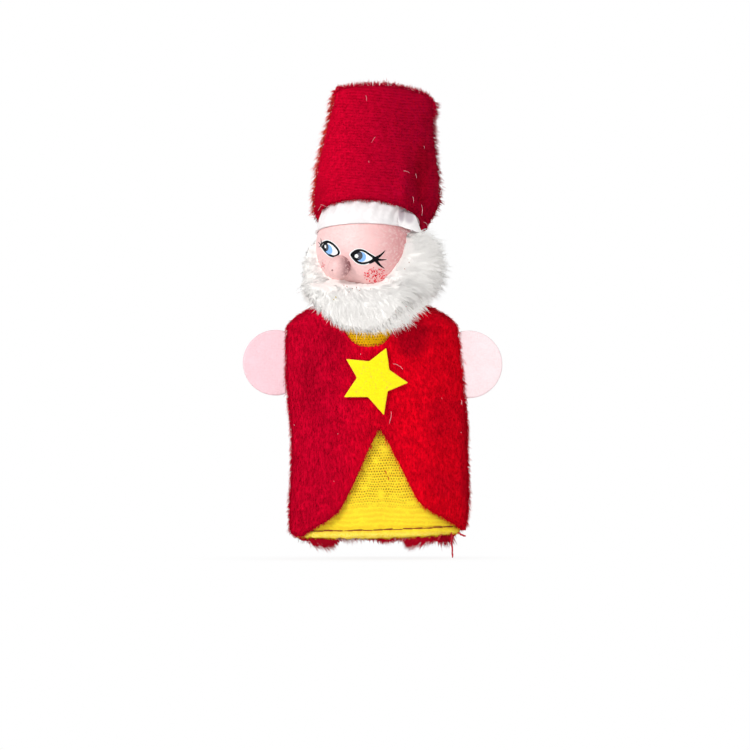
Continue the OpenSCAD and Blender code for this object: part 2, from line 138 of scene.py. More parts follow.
# Where painted shade darkens cloth as in soft folds: x, z, half width, half height and darkness of each
HAT_FOLDS = ((17, 39.5, 3.2, 12.5, 0.85), (12, 50, 5, 12, 0.15), (21.5, 48, 3, 12, 0.3))
COAT_FOLDS = ((14, -8, 6.5, 8.5, 0.6), (-15.4, -21.5, 4.6, 12, 0.36), (-9.5, -10.5, 5, 6.5, 0.3),
              (4, -37, 5, 8, 0.12), (30.2, -42, 3, 27, 0.4))
BAND_FOLDS = ((10.9, 27.4, 1.2, 3.2, 0.6), (13.2, 26.6, 1.8, 2.6, 0.5))

# The dark dot on the nose, given as the folds are
NOSE_DOT = ((-9.2, 10.9, 0.34, 0.34, 0.9),)

# From which x to which, in metres, a colour goes over into its other one: painted shade on the face, the
# nose and the hat, painted light on the coat
FACE_SHADE = (-0.002, 0.014)
NOSE_SHADE = (-0.0085, -0.0035)
PLUSH_SHADE = (-0.013, 0.016)

# Where the smooth noise starts, so that every run gives the same shapes
NOISE_SEED = 1

# Fur: how finely its cloth is made even, and how deep it is matted
FUR_GRAIN = 0.45
FUR_MATTING = 0.22

# Star and hands; each hand with its side, the height of its middle and the radius of its round edge
STAR_T = 1
STAR_Z = -21.1
STAR_BEND_R = 43
STAR_GAP = 0.25
HAND_T = 1.2
HANDS = (("hand_left", -1, -15.9, 9.8), ("hand_right", 1, -16.4, 10.1))
HAND_FILL = 0.8

# Hidden neck: radius and height of its cloth from the top down, and how thick it is
NECK_PROFILE = ((9.05, 6.5), (9.05, 4.4), (8.4, 3.7), (8.35, 2.6), (8.4, 1.6), (9.3, 1.45), (9.5, 0.2),
                (9.45, -1.0), (9.27, -2.05))
NECK_T = 0.45

# Loose threads at the hem: where each starts, which way it goes and how long it is
LOOSE_THREADS = (((25.6, -4.2, -65.4), (0.05, -0.02, -1), 7.6),
                 ((27.2, -3.6, -65.6), (0.85, -0.1, -0.35), 2.6),
                 ((22.5, -6, -66), (-0.4, -0.1, -0.6), 2.6))
LOOSE_THREAD_T = 0.52

# Beard's front edge, by x: how far its hairs reach out, and how far forward it lies
BEARD_EDGE_REACH = ((-17, 1.2), (-10, 2.6), (8, 3.2), (20, 3.6))
BEARD_EDGE_Y = ((-17, -4), (-14, -9), (-8, -13.5), (0, -15.5), (8, -15), (14, -12.5), (18, -8), (21, -4))

# The photograph's frame: its width on the puppet, and the x and z of its middle there
PHOTO_WIDTH = 218.75
PHOTO_X = 3.2
PHOTO_Z = -19.5
PHOTO_PIXELS = 750

# Stage: name, place, size and power of each lamp, the light all round, the floor and the camera
LAMPS = (("Key lamp", (-0.62, -0.75, 0.5), 0.3, 6.9), ("Fill lamp", (0.6, -0.8, 0.1), 0.6, 2.0),
         ("Back lamp", (0.7, 0.75, 0.4), 0.6, 3.2))
LIGHT_ALL_ROUND = 0.47
FLOOR_HALF_W = 3.0
SENSOR_WIDTH = 36.0


def colour(name, default, about):
    """A colour that a user can change."""
    return bpy.props.FloatVectorProperty(
        name=name, description=about, subtype="COLOR", size=3, min=0, max=1, default=srgb(*default))


def length(name, default, about, low=0.0, high=0.05):
    """A length in metres that a user can change."""
    return bpy.props.FloatProperty(
        name=name, description=about, subtype="DISTANCE", unit="LENGTH", min=low, max=high,
        precision=5, default=default)


def count(name, default, about, high=60000):
    """A number of strands that a user can change."""
    return bpy.props.IntProperty(name=name, description=about, min=0, max=high, default=default)


def srgb(red, green, blue):
    """Screen values from 0 to 255 as linear light."""
    return tuple(v / 12.92 if v <= 0.04045 else ((v + 0.055) / 1.055) ** 2.4
                 for v in (red / 255, green / 255, blue / 255))


class PuppetPaint(bpy.types.PropertyGroup):
    """Paint of the wooden head."""
    skin: colour("Skin", (247, 203, 201), "Paint of the face")
    # Painted shade: a deeper pink towards the face's right, which turns away from the light
    skin_shaded_side: colour("Skin's other side", (222, 148, 150), "Paint towards the face's right")
    nose: colour("Nose", (241, 195, 193), "Paint of the nose")
    # Painted shade: a dark red-brown over the nose's right side, where it meets the face
    nose_shaded_side: colour("Nose base", (126, 58, 68), "Worn paint where the nose meets the face")
    white: colour("White", (252, 252, 252), "White of the eyes")
    black: colour("Black", (2, 2, 10), "Lines, pupils and lashes")
    iris: colour("Iris", (140, 190, 246), "Iris of the eyes")
    blush: colour("Blush", (232, 30, 56), "Dots on the cheeks")


class PuppetCloth(bpy.types.PropertyGroup):
    """Cloth of the hat and the robe."""
    hat: colour("Hat", (225, 0, 47), "Plush of the hat")
    # Painted shade: a darker red towards the hat's right, which turns away from the light
    hat_shaded_side: colour("Hat's other side", (164, 0, 44), "Plush towards the hat's right")
    wisp: colour("Wisps", (240, 66, 52), "Loose pile on the hat's left edge")
    coat: colour("Coat", (218, 0, 45), "Plush of the coat")
    # Painted light: a brighter, warmer red towards the coat's right, which turns away from the lamps
    coat_lit_side: colour("Coat's other side", (252, 0, 31), "Plush towards the coat's right")
    knit: colour("Knit", (255, 222, 44), "Knit of the tunic")
    star: colour("Star", (255, 238, 12), "Felt of the star")
    hand_left: colour("Left hand", (245, 206, 214), "Felt of the left hand")
    hand_right: colour("Right hand", (251, 229, 232), "Felt of the right hand")
    stitch: colour("Stitch", (150, 52, 12), "Thread of the hem")
    fray: colour("Frayed red", (198, 10, 40), "Threads at the coat's cut edge")
    backing: colour("Backing", (244, 214, 216), "Backing threads of the plush")
    hat_pile: length("Hat pile", 0.0012, "Length of the hat's pile")
    coat_pile: length("Coat pile", 0.0014, "Length of the coat's pile")
    hat_strands: count("Hat strands", 20000, "Strands of pile on the hat")
    coat_strands: count("Coat strands", 14000, "Strands of pile on each coat panel")


class PuppetFur(bpy.types.PropertyGroup):
    """Fur of the beard and the hair."""
    fur: colour("Fur", (255, 252, 248), "White of the fur")
    beard_hair: length("Beard hair", 0.0062, "Length of the beard's hairs")
    back_hair: length("Back hair", 0.0052, "Length of the hairs behind the head")
    beard_strands: count("Beard strands", 11000, "Hairs of the beard")
    back_strands: count("Back strands", 5000, "Hairs behind the head")


class PuppetStage(bpy.types.PropertyGroup):
    """Floor, lamps and camera."""
    distance: length("Camera distance", 3.0, "Distance of the camera", high=9)
    floor_drop: length("Floor drop", 0.0003, "Gap between the puppet and the floor")
    backdrop: colour("Backdrop", (252, 252, 252), "Floor and background")


# Shader maths


class Wire:
    """A shader socket that stands in a Python sum, product or comparison."""

    def __init__(self, finish, socket):
        self.finish = finish
        self.socket = socket

    def maths(self, operation, *values):
        """A sum or the like of wires and numbers."""
        return self.finish.node("ShaderNodeMath", {"operation": operation}, dict(enumerate(values)))

    def __add__(self, other):
        return self.maths("ADD", self, other)

    __radd__ = __add__

    def __mul__(self, other):
        return self.maths("MULTIPLY", self, other)

    def __sub__(self, other):
        return self.maths("SUBTRACT", self, other)

    def __rsub__(self, other):
        return self.maths("SUBTRACT", other, self)

    def __lt__(self, other):
        return self.maths("LESS_THAN", self, other)

    def sine(self):
        return self.maths("SINE", self)

    def most(self, other):
        return self.maths("MAXIMUM", self, other)

    def clear(self, start, end):
        """0 up to start, 1 from end on, and smooth between them."""
        return self.finish.node(
            "ShaderNodeMapRange", {"interpolation_type": "SMOOTHSTEP"},
            {"Value": self, "From Min": start, "From Max": end, "To Min": 0.0, "To Max": 1.0})

    def part(self, name):
        """Another output of the same node, by its name or place."""
        return Wire(self.finish, self.socket.node.outputs[name])


class Finish:
    """A material, or the light all round, and the nodes that make it."""

    def __init__(self, name, world=False):
        self.made = (bpy.data.worlds if world else bpy.data.materials).new(name)
        self.made.use_nodes = True
        self.tree = self.made.node_tree
        self.tree.nodes.clear()

    def node(self, kind, settings=None, inputs=None):
        """Adds a node, sets it up and fills its sockets with numbers, colours or wires."""
        made = self.tree.nodes.new(kind)
        for key, value in (settings or {}).items():
            setattr(made, key, value)
        for key, value in (inputs or {}).items():
            socket = made.inputs[key]
            if isinstance(value, Wire):
                self.tree.links.new(value.socket, socket)
            elif socket.type == "RGBA" and len(value) == 3:
                socket.default_value = (*value, 1.0)
            else:
                socket.default_value = value
        return Wire(self, next((s for s in made.outputs if s.enabled), None))

    def place(self):
        """The point that is shaded, at rest, in metres."""
        return self.node("ShaderNodeTexCoord").part("Object")

    def axes(self, place):
        """The three numbers of a point, as wires."""
        split = self.node("ShaderNodeSeparateXYZ", None, {0: place})
        return split.part("X"), split.part("Y"), split.part("Z")

    def scaled(self, place, x, y, z):
        """A point with each of its numbers multiplied."""
        return self.node("ShaderNodeVectorMath", {"operation": "MULTIPLY"}, {0: place, 1: (x, y, z)})

    def noise(self, place, scale, detail=3.0, roughness=0.55):
        """Cloudy values about one half."""
        return self.node("ShaderNodeTexNoise", None, {
            "Vector": place, "Scale": scale, "Detail": detail, "Roughness": roughness})

    def cells(self, place, scale):
        """Distance from the nearest of many scattered points."""
        return self.node("ShaderNodeTexVoronoi", None, {"Vector": place, "Scale": scale})

    def tint(self):
        """The number that each strand of a piece carries."""
        return self.node("ShaderNodeAttribute", {"attribute_name": "tint"}).part("Fac")

    def strand_normal(self, share):
        """The direction in which each strand is lit: mostly that of the cloth that it grows from."""
        own = self.node("ShaderNodeNewGeometry").part("Normal")
        grown = self.node("ShaderNodeAttribute", {"attribute_name": "facing"}).part("Vector")
        turned = self.node("ShaderNodeVectorTransform", {
            "vector_type": "NORMAL", "convert_from": "OBJECT", "convert_to": "WORLD"}, {0: grown})
        added = self.node("ShaderNodeVectorMath", {"operation": "ADD"}, {
            0: self.scaled(own, share, share, share), 1: turned})
        return self.node("ShaderNodeVectorMath", {"operation": "NORMALIZE"}, {0: added})

    def mix(self, factor, first, second):
        """The first colour where factor is 0 and the second where it is 1."""
        return self.node("ShaderNodeMix", {"data_type": "RGBA"}, {0: factor, 6: first, 7: second}).part(2)

    def bump(self, height, strength, distance):
        """A normal that is bent by a height."""
        return self.node("ShaderNodeBump", None, {
            "Height": height, "Strength": strength, "Distance": distance})

    def looked_at(self):
        """1 for what the camera sees, also in a mirror or through glass, and 0 for light on its way."""
        rays = self.node("ShaderNodeLightPath")
        return rays.part("Is Camera Ray").most(rays.part("Is Glossy Ray")).most(
            rays.part("Is Transmission Ray"))

    def folded(self, tone, folds, dark):
        """Darker about places on the front, as painted shade in folds or as a dark mark: x and z of each,
        its half sizes in millimetres, and how dark.
        """
        x, _, z = self.axes(self.place())
        for middle_x, middle_z, half_x, half_z, amount in folds:
            off_x = (x - middle_x * MM) * (1 / (half_x * MM))
            off_z = (z - middle_z * MM) * (1 / (half_z * MM))
            inside = 1 - (off_x * off_x + off_z * off_z).clear(0.1, 1.0)
            tone = self.mix(inside * amount, tone, dark)
        return tone

    def surface(self, **inputs):
        """Ends the material with one surface shader."""
        named = {key.replace("_", " "): value for key, value in inputs.items()}
        shader = self.node("ShaderNodeBsdfPrincipled", None, named)
        self.node("ShaderNodeOutputMaterial", None, {"Surface": shader})
        return self.made


def shade(rgb, factor):
    """A colour made darker or lighter."""
    return tuple(min(1.0, v * factor) for v in rgb)


# Shapes of the puppet, in millimetres, as the frame has them


def lerp(a, b, t):
    """From a where t is 0 to b where it is 1."""
    return a + (b - a) * t


def ease(t):
    """From 0 to 1 with a soft start and end."""
    t = np.clip(t, 0, 1)
    return t * t * (3 - 2 * t)


def swell(x, centre, width):
    """A soft hump, 1 at its centre."""
    return np.exp(-(((x - centre) / width) ** 2))


def along(x, stops):
    """A value read off straight lines between stops."""
    xs, ys = zip(*stops)
    return np.interp(x, xs, ys)


def unit(vectors):
    """Vectors made one unit long."""
    return vectors / np.maximum(np.linalg.norm(vectors, axis=-1, keepdims=True), 1e-9)


def points_at(x, y, z):
    """Points from their x, y and z, of which each is an array or one number."""
    return np.stack(np.broadcast_arrays(x, y, z), -1)


def cloudy(points, size, seed=0.0, direction=False):
    """Smooth noise at points in millimetres, as one number or as a vector each."""
    noise.seed_set(NOISE_SEED)
    read = noise.noise_vector if direction else noise.noise
    shift = Vector((seed, 2 * seed, -seed))
    flat = np.asarray(points).reshape(-1, 3) / size
    values = np.array([read(Vector(p) + shift) for p in flat])
    return values.reshape(np.shape(points)[:-1] + ((3,) if direction else ()))


def robe_w(z):
    """Half width of the coat at a height."""
    s = np.clip((z + SHOULDER_DROP) / (COLLAR_TOP + SHOULDER_DROP), 0, 1)
    shoulder = SHOULDER_HALF_W - (SHOULDER_HALF_W - COLLAR_HALF_W) * s ** 1.5
    side = along(z, [(-COAT_LEN, HEM_HALF_W - 0.6), (-COAT_LEN + 11, HEM_HALF_W), (-42, WAIST_HALF_W),
                     (-20, WAIST_HALF_W + 0.2), (-SHOULDER_DROP, SHOULDER_HALF_W)])
    return np.where(z > -SHOULDER_DROP, shoulder, side)


def robe_x(z):
    """Middle of the robe at a height: it hangs a little to one side."""
    return ROBE_LEAN * along(z, [(-66, 0.9), (-50, 1.03), (-36, 1), (-20, 0.7), (-8, 0.54), (0, 0.5)])


def tunnel_d(z):
    """Half depth of the finger space."""
    return TUNNEL_HALF_D + (SOCKET_R - TUNNEL_HALF_D) * np.clip((z + 14) / 12.8, 0, 1) ** 2


def robe_fold(side, x, z):
    """Folds of the hanging cloth, as distance outward."""
    if side < 0:
        folds = (1.1 * swell(x, 18.5 - 0.05 * (z + 40), 4.6) * ease((-z - 12) / 18)
                 - 0.8 * swell(x, 9 + 0.1 * (z + 40), 3.2) * ease((-z - 30) / 14)
                 - 0.9 * swell(x, -7.5, 3.6) * ease((-z - 18) / 16)
                 + 0.9 * swell(x, -14.5 + 0.04 * (z + 40), 4) * ease((-z - 14) / 22))
    else:
        folds = (0.9 * swell(x, -9, 5) * ease((-z - 16) / 22)
                 - 0.7 * swell(x, 3, 3.6) * ease((-z - 26) / 18)
                 + swell(x, 14 - 0.05 * (z + 40), 5) * ease((-z - 12) / 24))
    return FOLD_DEPTH * folds


def robe_point(side, angle, z, out):
    """A point of the robe: side -1 is the front, angle runs over the width, out is its layer."""
    across = np.cos(angle)
    x = robe_x(z) + (robe_w(z) - COAT_OUT + out) * np.sin(angle)
    deep = (tunnel_d(z) + out) * np.maximum(across, 0) ** lerp(1.5, 1, ease((z + 8) / 6))
    y = side * (SEAM_HALF + deep + robe_fold(side, x, z) * across)
    return points_at(x, y, z)


def tunic_hem_z(angle):
    """Lower edge of the tunic."""
    return -TUNIC_LEN + 0.9 * np.sin(angle) ** 2 + 0.5 * np.sin(angle)


def stitch_line_z(across):
    """Height of the hem's stitches: across runs from -1 to 1 over the tunic's width."""
    return STITCH_Z + 0.7 * across + 0.4 * across ** 2


def cutaway_z(angle):
    """Lower edge of the coat's front: steep at first, and flaring out towards the side seams."""
    u = np.sin(angle)
    rise = np.where(u < 0, FRONT_RISE[0], FRONT_RISE[1])
    reach = along(abs(u), [(0, 0), (0.09, 0.13), (0.26, 0.41), (0.37, 0.6), (0.45, 0.72), (0.5, 0.765),
                           (0.6, 0.825), (0.76, 0.89), (CUTAWAY_REACH, 0.985), (1, 1)])
    return -CUTAWAY_DROP - (COAT_LEN - CUTAWAY_DROP - rise) * reach + 1.8 * ease((-u - 0.88) / 0.12)


def coat_back_hem_z(angle):
    """Lower edge of the coat's back, a little shorter in the middle."""
    u = np.sin(angle)
    return (-COAT_LEN + 1.6 * swell(u, -0.28, 0.3) + 2.2 * ease((-u - 0.86) / 0.14)
            + 4 * ease((u - 0.8) / 0.2))


def neckline_z(angle):
    """Upper edge of the coat's front."""
    u = abs(np.sin(angle) + 0.045) * (SHOULDER_HALF_W / NECKLINE_HALF_W)
    return COLLAR_TOP - (NECKLINE_DROP + COLLAR_TOP) * np.maximum(0, 1 - u ** 3)


def collar_z(angle):
    """Upper edge of the tunic and of the coat's back."""
    return COLLAR_TOP + 0 * angle


def robe_grid(side, out, low, high, rows, cols):
    """Rows of points from the lower edge to the upper one; low and high give them at an angle."""
    angle = np.linspace(-np.pi / 2, np.pi / 2, cols)[None, :]
    step = np.linspace(0, 1, rows)[:, None] ** 1.35
    z = lerp(low(angle), high(angle), step)
    return robe_point(side, angle, z, out)


def hat_point(turn, s, wall):
    """A point of the hat: turn is the angle round it, s runs up it, wall is the depth in the cloth."""
    half_w = along(s, [(0, HAT_RIM_HALF_W), (0.18, HAT_BELLY_HALF_W), (0.4, HAT_BELLY_HALF_W - 0.7),
                       (0.75, lerp(HAT_BELLY_HALF_W, HAT_TOP_HALF_W, 0.75)), (1, HAT_TOP_HALF_W)])
    half_d = np.maximum(HAT_EDGE_HALF_D, lerp(HAT_TOP_HALF_D, HAT_RIM_HALF_D, (1 - s) ** 1.6)
                        * np.sqrt(1 - s ** 10))
    middle = along(s, [(0, 2), (0.2, 3.9), (0.5, 4.3), (0.8, 5.2), (1, 6)])
    x = middle + (half_w - wall) * np.cos(turn)
    crease = ease((0.62 - s) / 0.4) * (1.3 * swell(x, 11.5, 2.6) - 1.5 * swell(x, 16.5, 2.2)
                                       - 0.6 * swell(x, 4, 5))
    crease = np.where(np.sin(turn) < 0, crease, 0)
    y = (HAT_BACK + HAT_LEAN * s + np.maximum(0.3, half_d - wall) * np.sin(turn)
         - crease * abs(np.sin(turn)))
    rim = HAT_RIM_MID - HAT_RIM_RISE * np.sin(turn) - HAT_RIM_ROLL * np.cos(turn)
    top = (HAT_TOP - 2.6 * (np.cos(turn) + 0.2) ** 2 - 1.5 * np.maximum(0, np.cos(turn)) ** 12)
    from_head = points_at(x, y, lerp(rim, top, s) - BALL_Z)
    keep = (HAT_SEAT_R + HAT_WALL - wall) / np.linalg.norm(from_head, axis=-1, keepdims=True)
    return from_head * np.maximum(1, keep) + BALL_CENTRE


def on_ball(x, z, out=0.0):
    """The point of the head's front that a straight view from the front shows at x and z."""
    y = -np.sqrt(np.maximum((BALL_R + out) ** 2 - x ** 2 - (z - BALL_Z) ** 2, 0.01))
    return points_at(x, y, z)


def outward_at(points):
    """Direction away from the head's middle."""
    return unit(points - BALL_CENTRE)


def off_head(points):
    """Distance of points from the wooden head's surface."""
    return np.linalg.norm(points - BALL_CENTRE, axis=-1) - BALL_R


def from_photo(pixels):
    """Pixels of the photograph as x and z on the puppet, in millimetres."""
    scale = PHOTO_WIDTH / PHOTO_PIXELS
    pixels = np.asarray(pixels, float)
    x = PHOTO_X + (pixels[..., 0] - PHOTO_PIXELS / 2) * scale
    z = PHOTO_Z - (pixels[..., 1] - PHOTO_PIXELS / 2) * scale
    return np.stack([x, z], -1)


# Meshes


def new_object(name, data, place=(0, 0, 0)):
    """An object in the scene."""
    made = bpy.data.objects.new(name, data)
    made.location = place
    bpy.context.scene.collection.objects.link(made)
    return made


def repaint(mesh, finish):
    """Gives a mesh one finish in place of those that it has."""
    mesh.materials.clear()
    mesh.materials.append(finish)


def make_piece(name, points, faces, finish, body, slot, marks=None):
    """A piece from points in millimetres and arrays of faces; marks are numbers or vectors at its points."""
    mesh = bpy.data.meshes.new(name)
    corners = np.concatenate([np.asarray(f).ravel() for f in faces]).astype(np.int32)
    sizes = np.concatenate([np.full(len(f), np.shape(f)[1]) for f in faces])
    starts = np.concatenate([[0], np.cumsum(sizes)[:-1]]).astype(np.int32)
    mesh.vertices.add(len(points))
    mesh.vertices.foreach_set("co", (np.asarray(points) * MM).astype(np.float32).ravel())
    mesh.loops.add(len(corners))
    mesh.loops.foreach_set("vertex_index", corners)
    mesh.polygons.add(len(sizes))
    mesh.polygons.foreach_set("loop_start", starts)
    mesh.update(calc_edges=True)
    mesh.validate()
    mesh.shade_smooth()
    for label, values in (marks or {}).items():
        kind, field = ("FLOAT", "value") if values.ndim == 1 else ("FLOAT_VECTOR", "vector")
        made = mesh.attributes.new(label, kind, "POINT")
        made.data.foreach_set(field, values.astype(np.float32).ravel())
    made = new_object(name, mesh)
    for material in finish if isinstance(finish, (list, tuple)) else [finish]:
        mesh.materials.append(material)
    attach(made, body)
    return made


def soften(made):
    """Rounds a piece with a subdivision surface."""
    rounding = made.modifiers.new("Round", "SUBSURF")
    rounding.levels = 1
    rounding.render_levels = 1


def lighten(made):
    """Keeps long hairs from darkening one another: no shadow, and unseen by light that bounces."""
    made.visible_shadow = False
    made.visible_diffuse = False


def sheet_mesh(outer, inner, front=True, wrap=False):
    """Points and faces of a closed sheet between two grids; front means that it faces the viewer."""
    rows, cols = outer.shape[:2]
    at = np.arange(rows * cols).reshape(rows, cols)
    if wrap:
        at = np.concatenate([at, at[:, :1]], 1)
    under = at + rows * cols

    def quads(a, b, c, d):
        return np.stack([a.ravel(), b.ravel(), c.ravel(), d.ravel()], 1)

    faces = [quads(at[:-1, :-1], at[:-1, 1:], at[1:, 1:], at[1:, :-1]),
             quads(under[:-1, :-1], under[1:, :-1], under[1:, 1:], under[:-1, 1:]),
             quads(at[0, :-1], under[0, :-1], under[0, 1:], at[0, 1:]),
             quads(at[-1, :-1], at[-1, 1:], under[-1, 1:], under[-1, :-1])]
    if not wrap:
        faces += [quads(at[:-1, 0], at[1:, 0], under[1:, 0], under[:-1, 0]),
                  quads(at[:-1, -1], under[:-1, -1], under[1:, -1], at[1:, -1])]
    faces = np.concatenate(faces)
    points = np.concatenate([outer.reshape(-1, 3), inner.reshape(-1, 3)])
    return points, [faces if front else faces[:, ::-1]]


def normals_of(grid, wrap=False):
    """Outward direction at each point of a grid."""
    if wrap:
        grid = np.concatenate([grid[:, -1:], grid, grid[:, :1]], 1)
    across = np.gradient(grid, axis=1)
    upward = np.gradient(grid, axis=0)
    facing = unit(np.cross(across, upward))
    return facing[:, 1:-1] if wrap else facing


def scatter(grid, amount, rng):
    """Random places on a grid, evenly by area, with the outward direction at each."""
    a, b, c, d = grid[:-1, :-1], grid[:-1, 1:], grid[1:, 1:], grid[1:, :-1]
    area = np.linalg.norm(np.cross(c - a, d - b), axis=-1)
    cell = rng.choice(area.size, amount, p=area.ravel() / area.sum())
    v, u = rng.random((2, amount, 1))

    def pick(table):
        return [table[part].reshape(-1, 3)[cell] for part in (
            np.s_[:-1, :-1], np.s_[:-1, 1:], np.s_[1:, 1:], np.s_[1:, :-1])]

    def blend(table):
        p, q, r, s = pick(table)
        return lerp(lerp(p, q, u), lerp(s, r, u), v)

    return blend(grid), unit(blend(normals_of(grid)))


def hairs(roots, start, end, lengths, thick, rng, facing, steps=3):
    """Tapered three-sided hairs that leave along start and bend to end: points, faces and marks."""
    amount = len(roots)
    spine = [roots]
    heading = []
    for k in range(steps):
        way = unit(lerp(start, end, (k + 0.5) / steps))
        heading.append(way)
        spine.append(spine[-1] + way * (lengths / steps)[:, None])
    side = unit(np.cross(heading[0], rng.normal(size=(amount, 3))))
    rings = []
    for k in range(steps):
        lift = unit(np.cross(heading[k], side))
        radius = thick / 2 * (1 - 0.85 * (k / steps) ** 1.4)
        for corner in range(3):
            angle = 2 * math.pi * corner / 3
            rings.append(spine[k] + radius * (side * math.cos(angle) + lift * math.sin(angle)))
    points = np.stack(rings + [spine[-1]], 1)
    per = points.shape[1]
    first = np.arange(amount)[:, None] * per
    quads = [[3 * k + i, 3 * k + (i + 1) % 3, 3 * k + 3 + (i + 1) % 3, 3 * k + 3 + i]
             for k in range(steps - 1) for i in range(3)]
    ends = [[3 * (steps - 1) + i, 3 * (steps - 1) + (i + 1) % 3, 3 * steps] for i in range(3)]
    faces = [(first[:, :, None] + np.array(q)[None]).reshape(-1, len(q[0])) for q in (quads, ends)]
    marks = {"tint": np.repeat(rng.random(amount), per), "facing": np.repeat(unit(facing), per, 0)}
    return points.reshape(-1, 3), faces, marks


def tufted(roots, ends, reach, every, rng, pull=1.0):
    """Turns hairs towards the tip of the nearest leading hair, so that they gather in tufts."""
    leaders = rng.choice(len(roots), max(1, len(roots) // every), replace=False)
    tree = kdtree.KDTree(len(leaders))
    for place, leader in enumerate(leaders):
        tree.insert(roots[leader], place)
    tree.balance()
    mine = leaders[np.array([tree.find(root)[1] for root in roots])]
    gather = (roots[mine] - roots) / reach[:, None] * pull
    return unit(ends[mine] + gather + rng.normal(size=roots.shape) * 0.1)


def fringe(name, line, ways, reach, amount, every, finish, body, slot, seed, wide=0.3, thick=0.16):
    """Loose pile along an edge: its points, and the direction and length of the pile at each."""
    rng = np.random.default_rng(seed)
    place = rng.random(amount) * (len(line) - 1)
    at = np.arange(len(line))

    def read(table):
        whole = np.zeros((len(line), 3)) + table
        return np.stack([np.interp(place, at, column) for column in whole.T], -1)

    roots = read(line) + rng.normal(size=(amount, 3)) * wide
    way = unit(read(ways) + rng.normal(size=(amount, 3)) * 0.3)
    long = np.interp(place, at, np.zeros(len(line)) + reach) * (0.45 + 0.75 * rng.random(amount))
    end = tufted(roots, unit(read(ways)), long, every, rng)
    points, faces, marks = hairs(roots, way, end, long, thick, rng, way * 0.5 + [0, -1.2, 0.4])
    return make_piece(name, points, faces, finish, body, slot, marks)


def closed_curve(points, steps=6):
    """A smooth closed line through a few points."""
    p = np.asarray(points, float)
    before, after, beyond = np.roll(p, 1, 0), np.roll(p, -1, 0), np.roll(p, -2, 0)
    t = (np.arange(steps) / steps)[None, :, None]
    p0, p1, p2, p3 = (q[:, None, :] for q in (before, p, after, beyond))
    line = 0.5 * (2 * p1 + (p2 - p0) * t + (2 * p0 - 5 * p1 + 4 * p2 - p3) * t ** 2
                  + (3 * p1 - p0 - 3 * p2 + p3) * t ** 3)
    return line.reshape(-1, p.shape[1])


# Finishes


def wood_paint(name, rgb, freckle, dark, turn, spots=()):
    """Satin paint on turned wood, with a fine grain and a few worn specks, and painted shade, darker over
    the stretch turn.
    """
    finish = Finish(name)
    place = finish.place()
    x = finish.axes(place)[0]
    cloud = finish.noise(place, 260.0)
    fine = finish.noise(place, 2600.0, 2.0)
    peel = finish.noise(finish.scaled(place, 1, 1, 1.3), 1150.0, 2.0)
    tone = finish.mix(cloud.clear(0.35, 0.7), shade(rgb, 0.94), shade(rgb, 1.03))
    # Painted shade: the paint goes over into its darker colour across the stretch turn, on the side away
    # from the light
    tone = finish.mix(x.clear(*turn), tone, dark)
    specks = finish.cells(place, 1500.0) < 0.2
    tone = finish.mix(specks * freckle, tone, shade(rgb, 0.7))
    worn = finish.mix(fine.clear(0.62, 0.8) * 0.25, tone, shade(rgb, 1.15))
    worn = finish.mix(peel.clear(0.3, 0.55), shade(rgb, 0.9), worn)
    worn = finish.folded(worn, spots, srgb(96, 40, 44))
    height = peel * 0.75 + fine * 0.25
    return finish.surface(
        Base_Color=worn, Roughness=0.42 + cloud * 0.2, Normal=finish.bump(height, 0.9, 0.0003),
        Coat_Weight=0.12, Coat_Roughness=0.35)


def line_paint(name, rgb, roughness=0.45):
    """Thin brushed paint over the face."""
    finish = Finish(name)
    fine = finish.noise(finish.place(), 3000.0, 2.0)
    tone = finish.mix(fine, shade(rgb, 0.86), shade(rgb, 1.06))
    return finish.surface(Base_Color=tone, Roughness=roughness + fine * 0.1,
                          Normal=finish.bump(fine, 0.15, 0.00005), Specular_IOR_Level=0.15)


def fur_finish(name, rgb, strands=True):
    """Long white fur, or the matted cloth under it, shaded from hair to hair."""
    finish = Finish(name)
    place = finish.place()
    cloud = finish.noise(place, 320.0, 3.0)
    fine = finish.noise(finish.scaled(place, 1, 1, 0.35), 2400.0, 3.0)
    tone = finish.mix(cloud.clear(0.3, 0.6), shade(rgb, 0.98), rgb)
    tone = finish.mix(fine.clear(0.5, 0.75) * (0.3 - finish.tint() * 0.3), tone, shade(rgb, 0.62))
    normal = finish.strand_normal(0.25) if strands else finish.bump(fine, 0.3, 0.0002)
    return finish.surface(Base_Color=tone, Roughness=0.75 + fine * 0.15, Normal=normal, Sheen_Weight=0.3,
                          Sheen_Roughness=0.6, Specular_IOR_Level=0.2)


def plush_finish(name, rgb, other, rows=0.0, depth=0.8, folds=(), strands=True, streak_side=None):
    """Pile cloth: streaks down the pile, soft clouds, a red that goes over to one side as painted shade or
    painted light, rows, and painted shade in folds.
    """
    finish = Finish(name)
    place = finish.place()
    x, _, z = finish.axes(place)
    cloud = finish.noise(place, 60.0, 2.0)
    streak = finish.noise(finish.scaled(place, 1, 1, 0.2), 2100.0, 4.0, 0.6)
    fine = finish.noise(place, 5200.0, 3.0, 0.6)
    # Towards the right the red goes over into its other one: painted shade on the hat, painted light on the
    # coat; the streaks follow it where asked
    across = x.clear(*PLUSH_SHADE)
    deep = finish.mix(across, shade(rgb, depth), shade(streak_side or rgb, depth))
    tone = finish.mix(streak.clear(0.3, 0.62), deep, finish.mix(across, rgb, other))
    tone = finish.mix(finish.tint() * 0.15, tone, shade(rgb, 1.3))
    tone = finish.mix(cloud.clear(0.45, 0.68) * 0.25, tone, shade(rgb, 0.6))
    # Painted shade in soft folds
    tone = finish.folded(tone, folds, shade(rgb, 0.42))
    height = streak * 0.6 + fine * 0.4
    if rows:
        ribs = (z * (2 * math.pi / rows) + cloud * 9.0).sine() * 0.5 + 0.5
        tone = finish.mix(ribs * 0.2, tone, shade(rgb, 0.5))
        height = height - ribs * 0.3
    normal = finish.strand_normal(0.25) if strands else finish.bump(height, 0.5, 0.0003)
    return finish.surface(Base_Color=tone, Roughness=0.88 + fine * 0.1, Normal=normal,
                          Specular_IOR_Level=0.04)


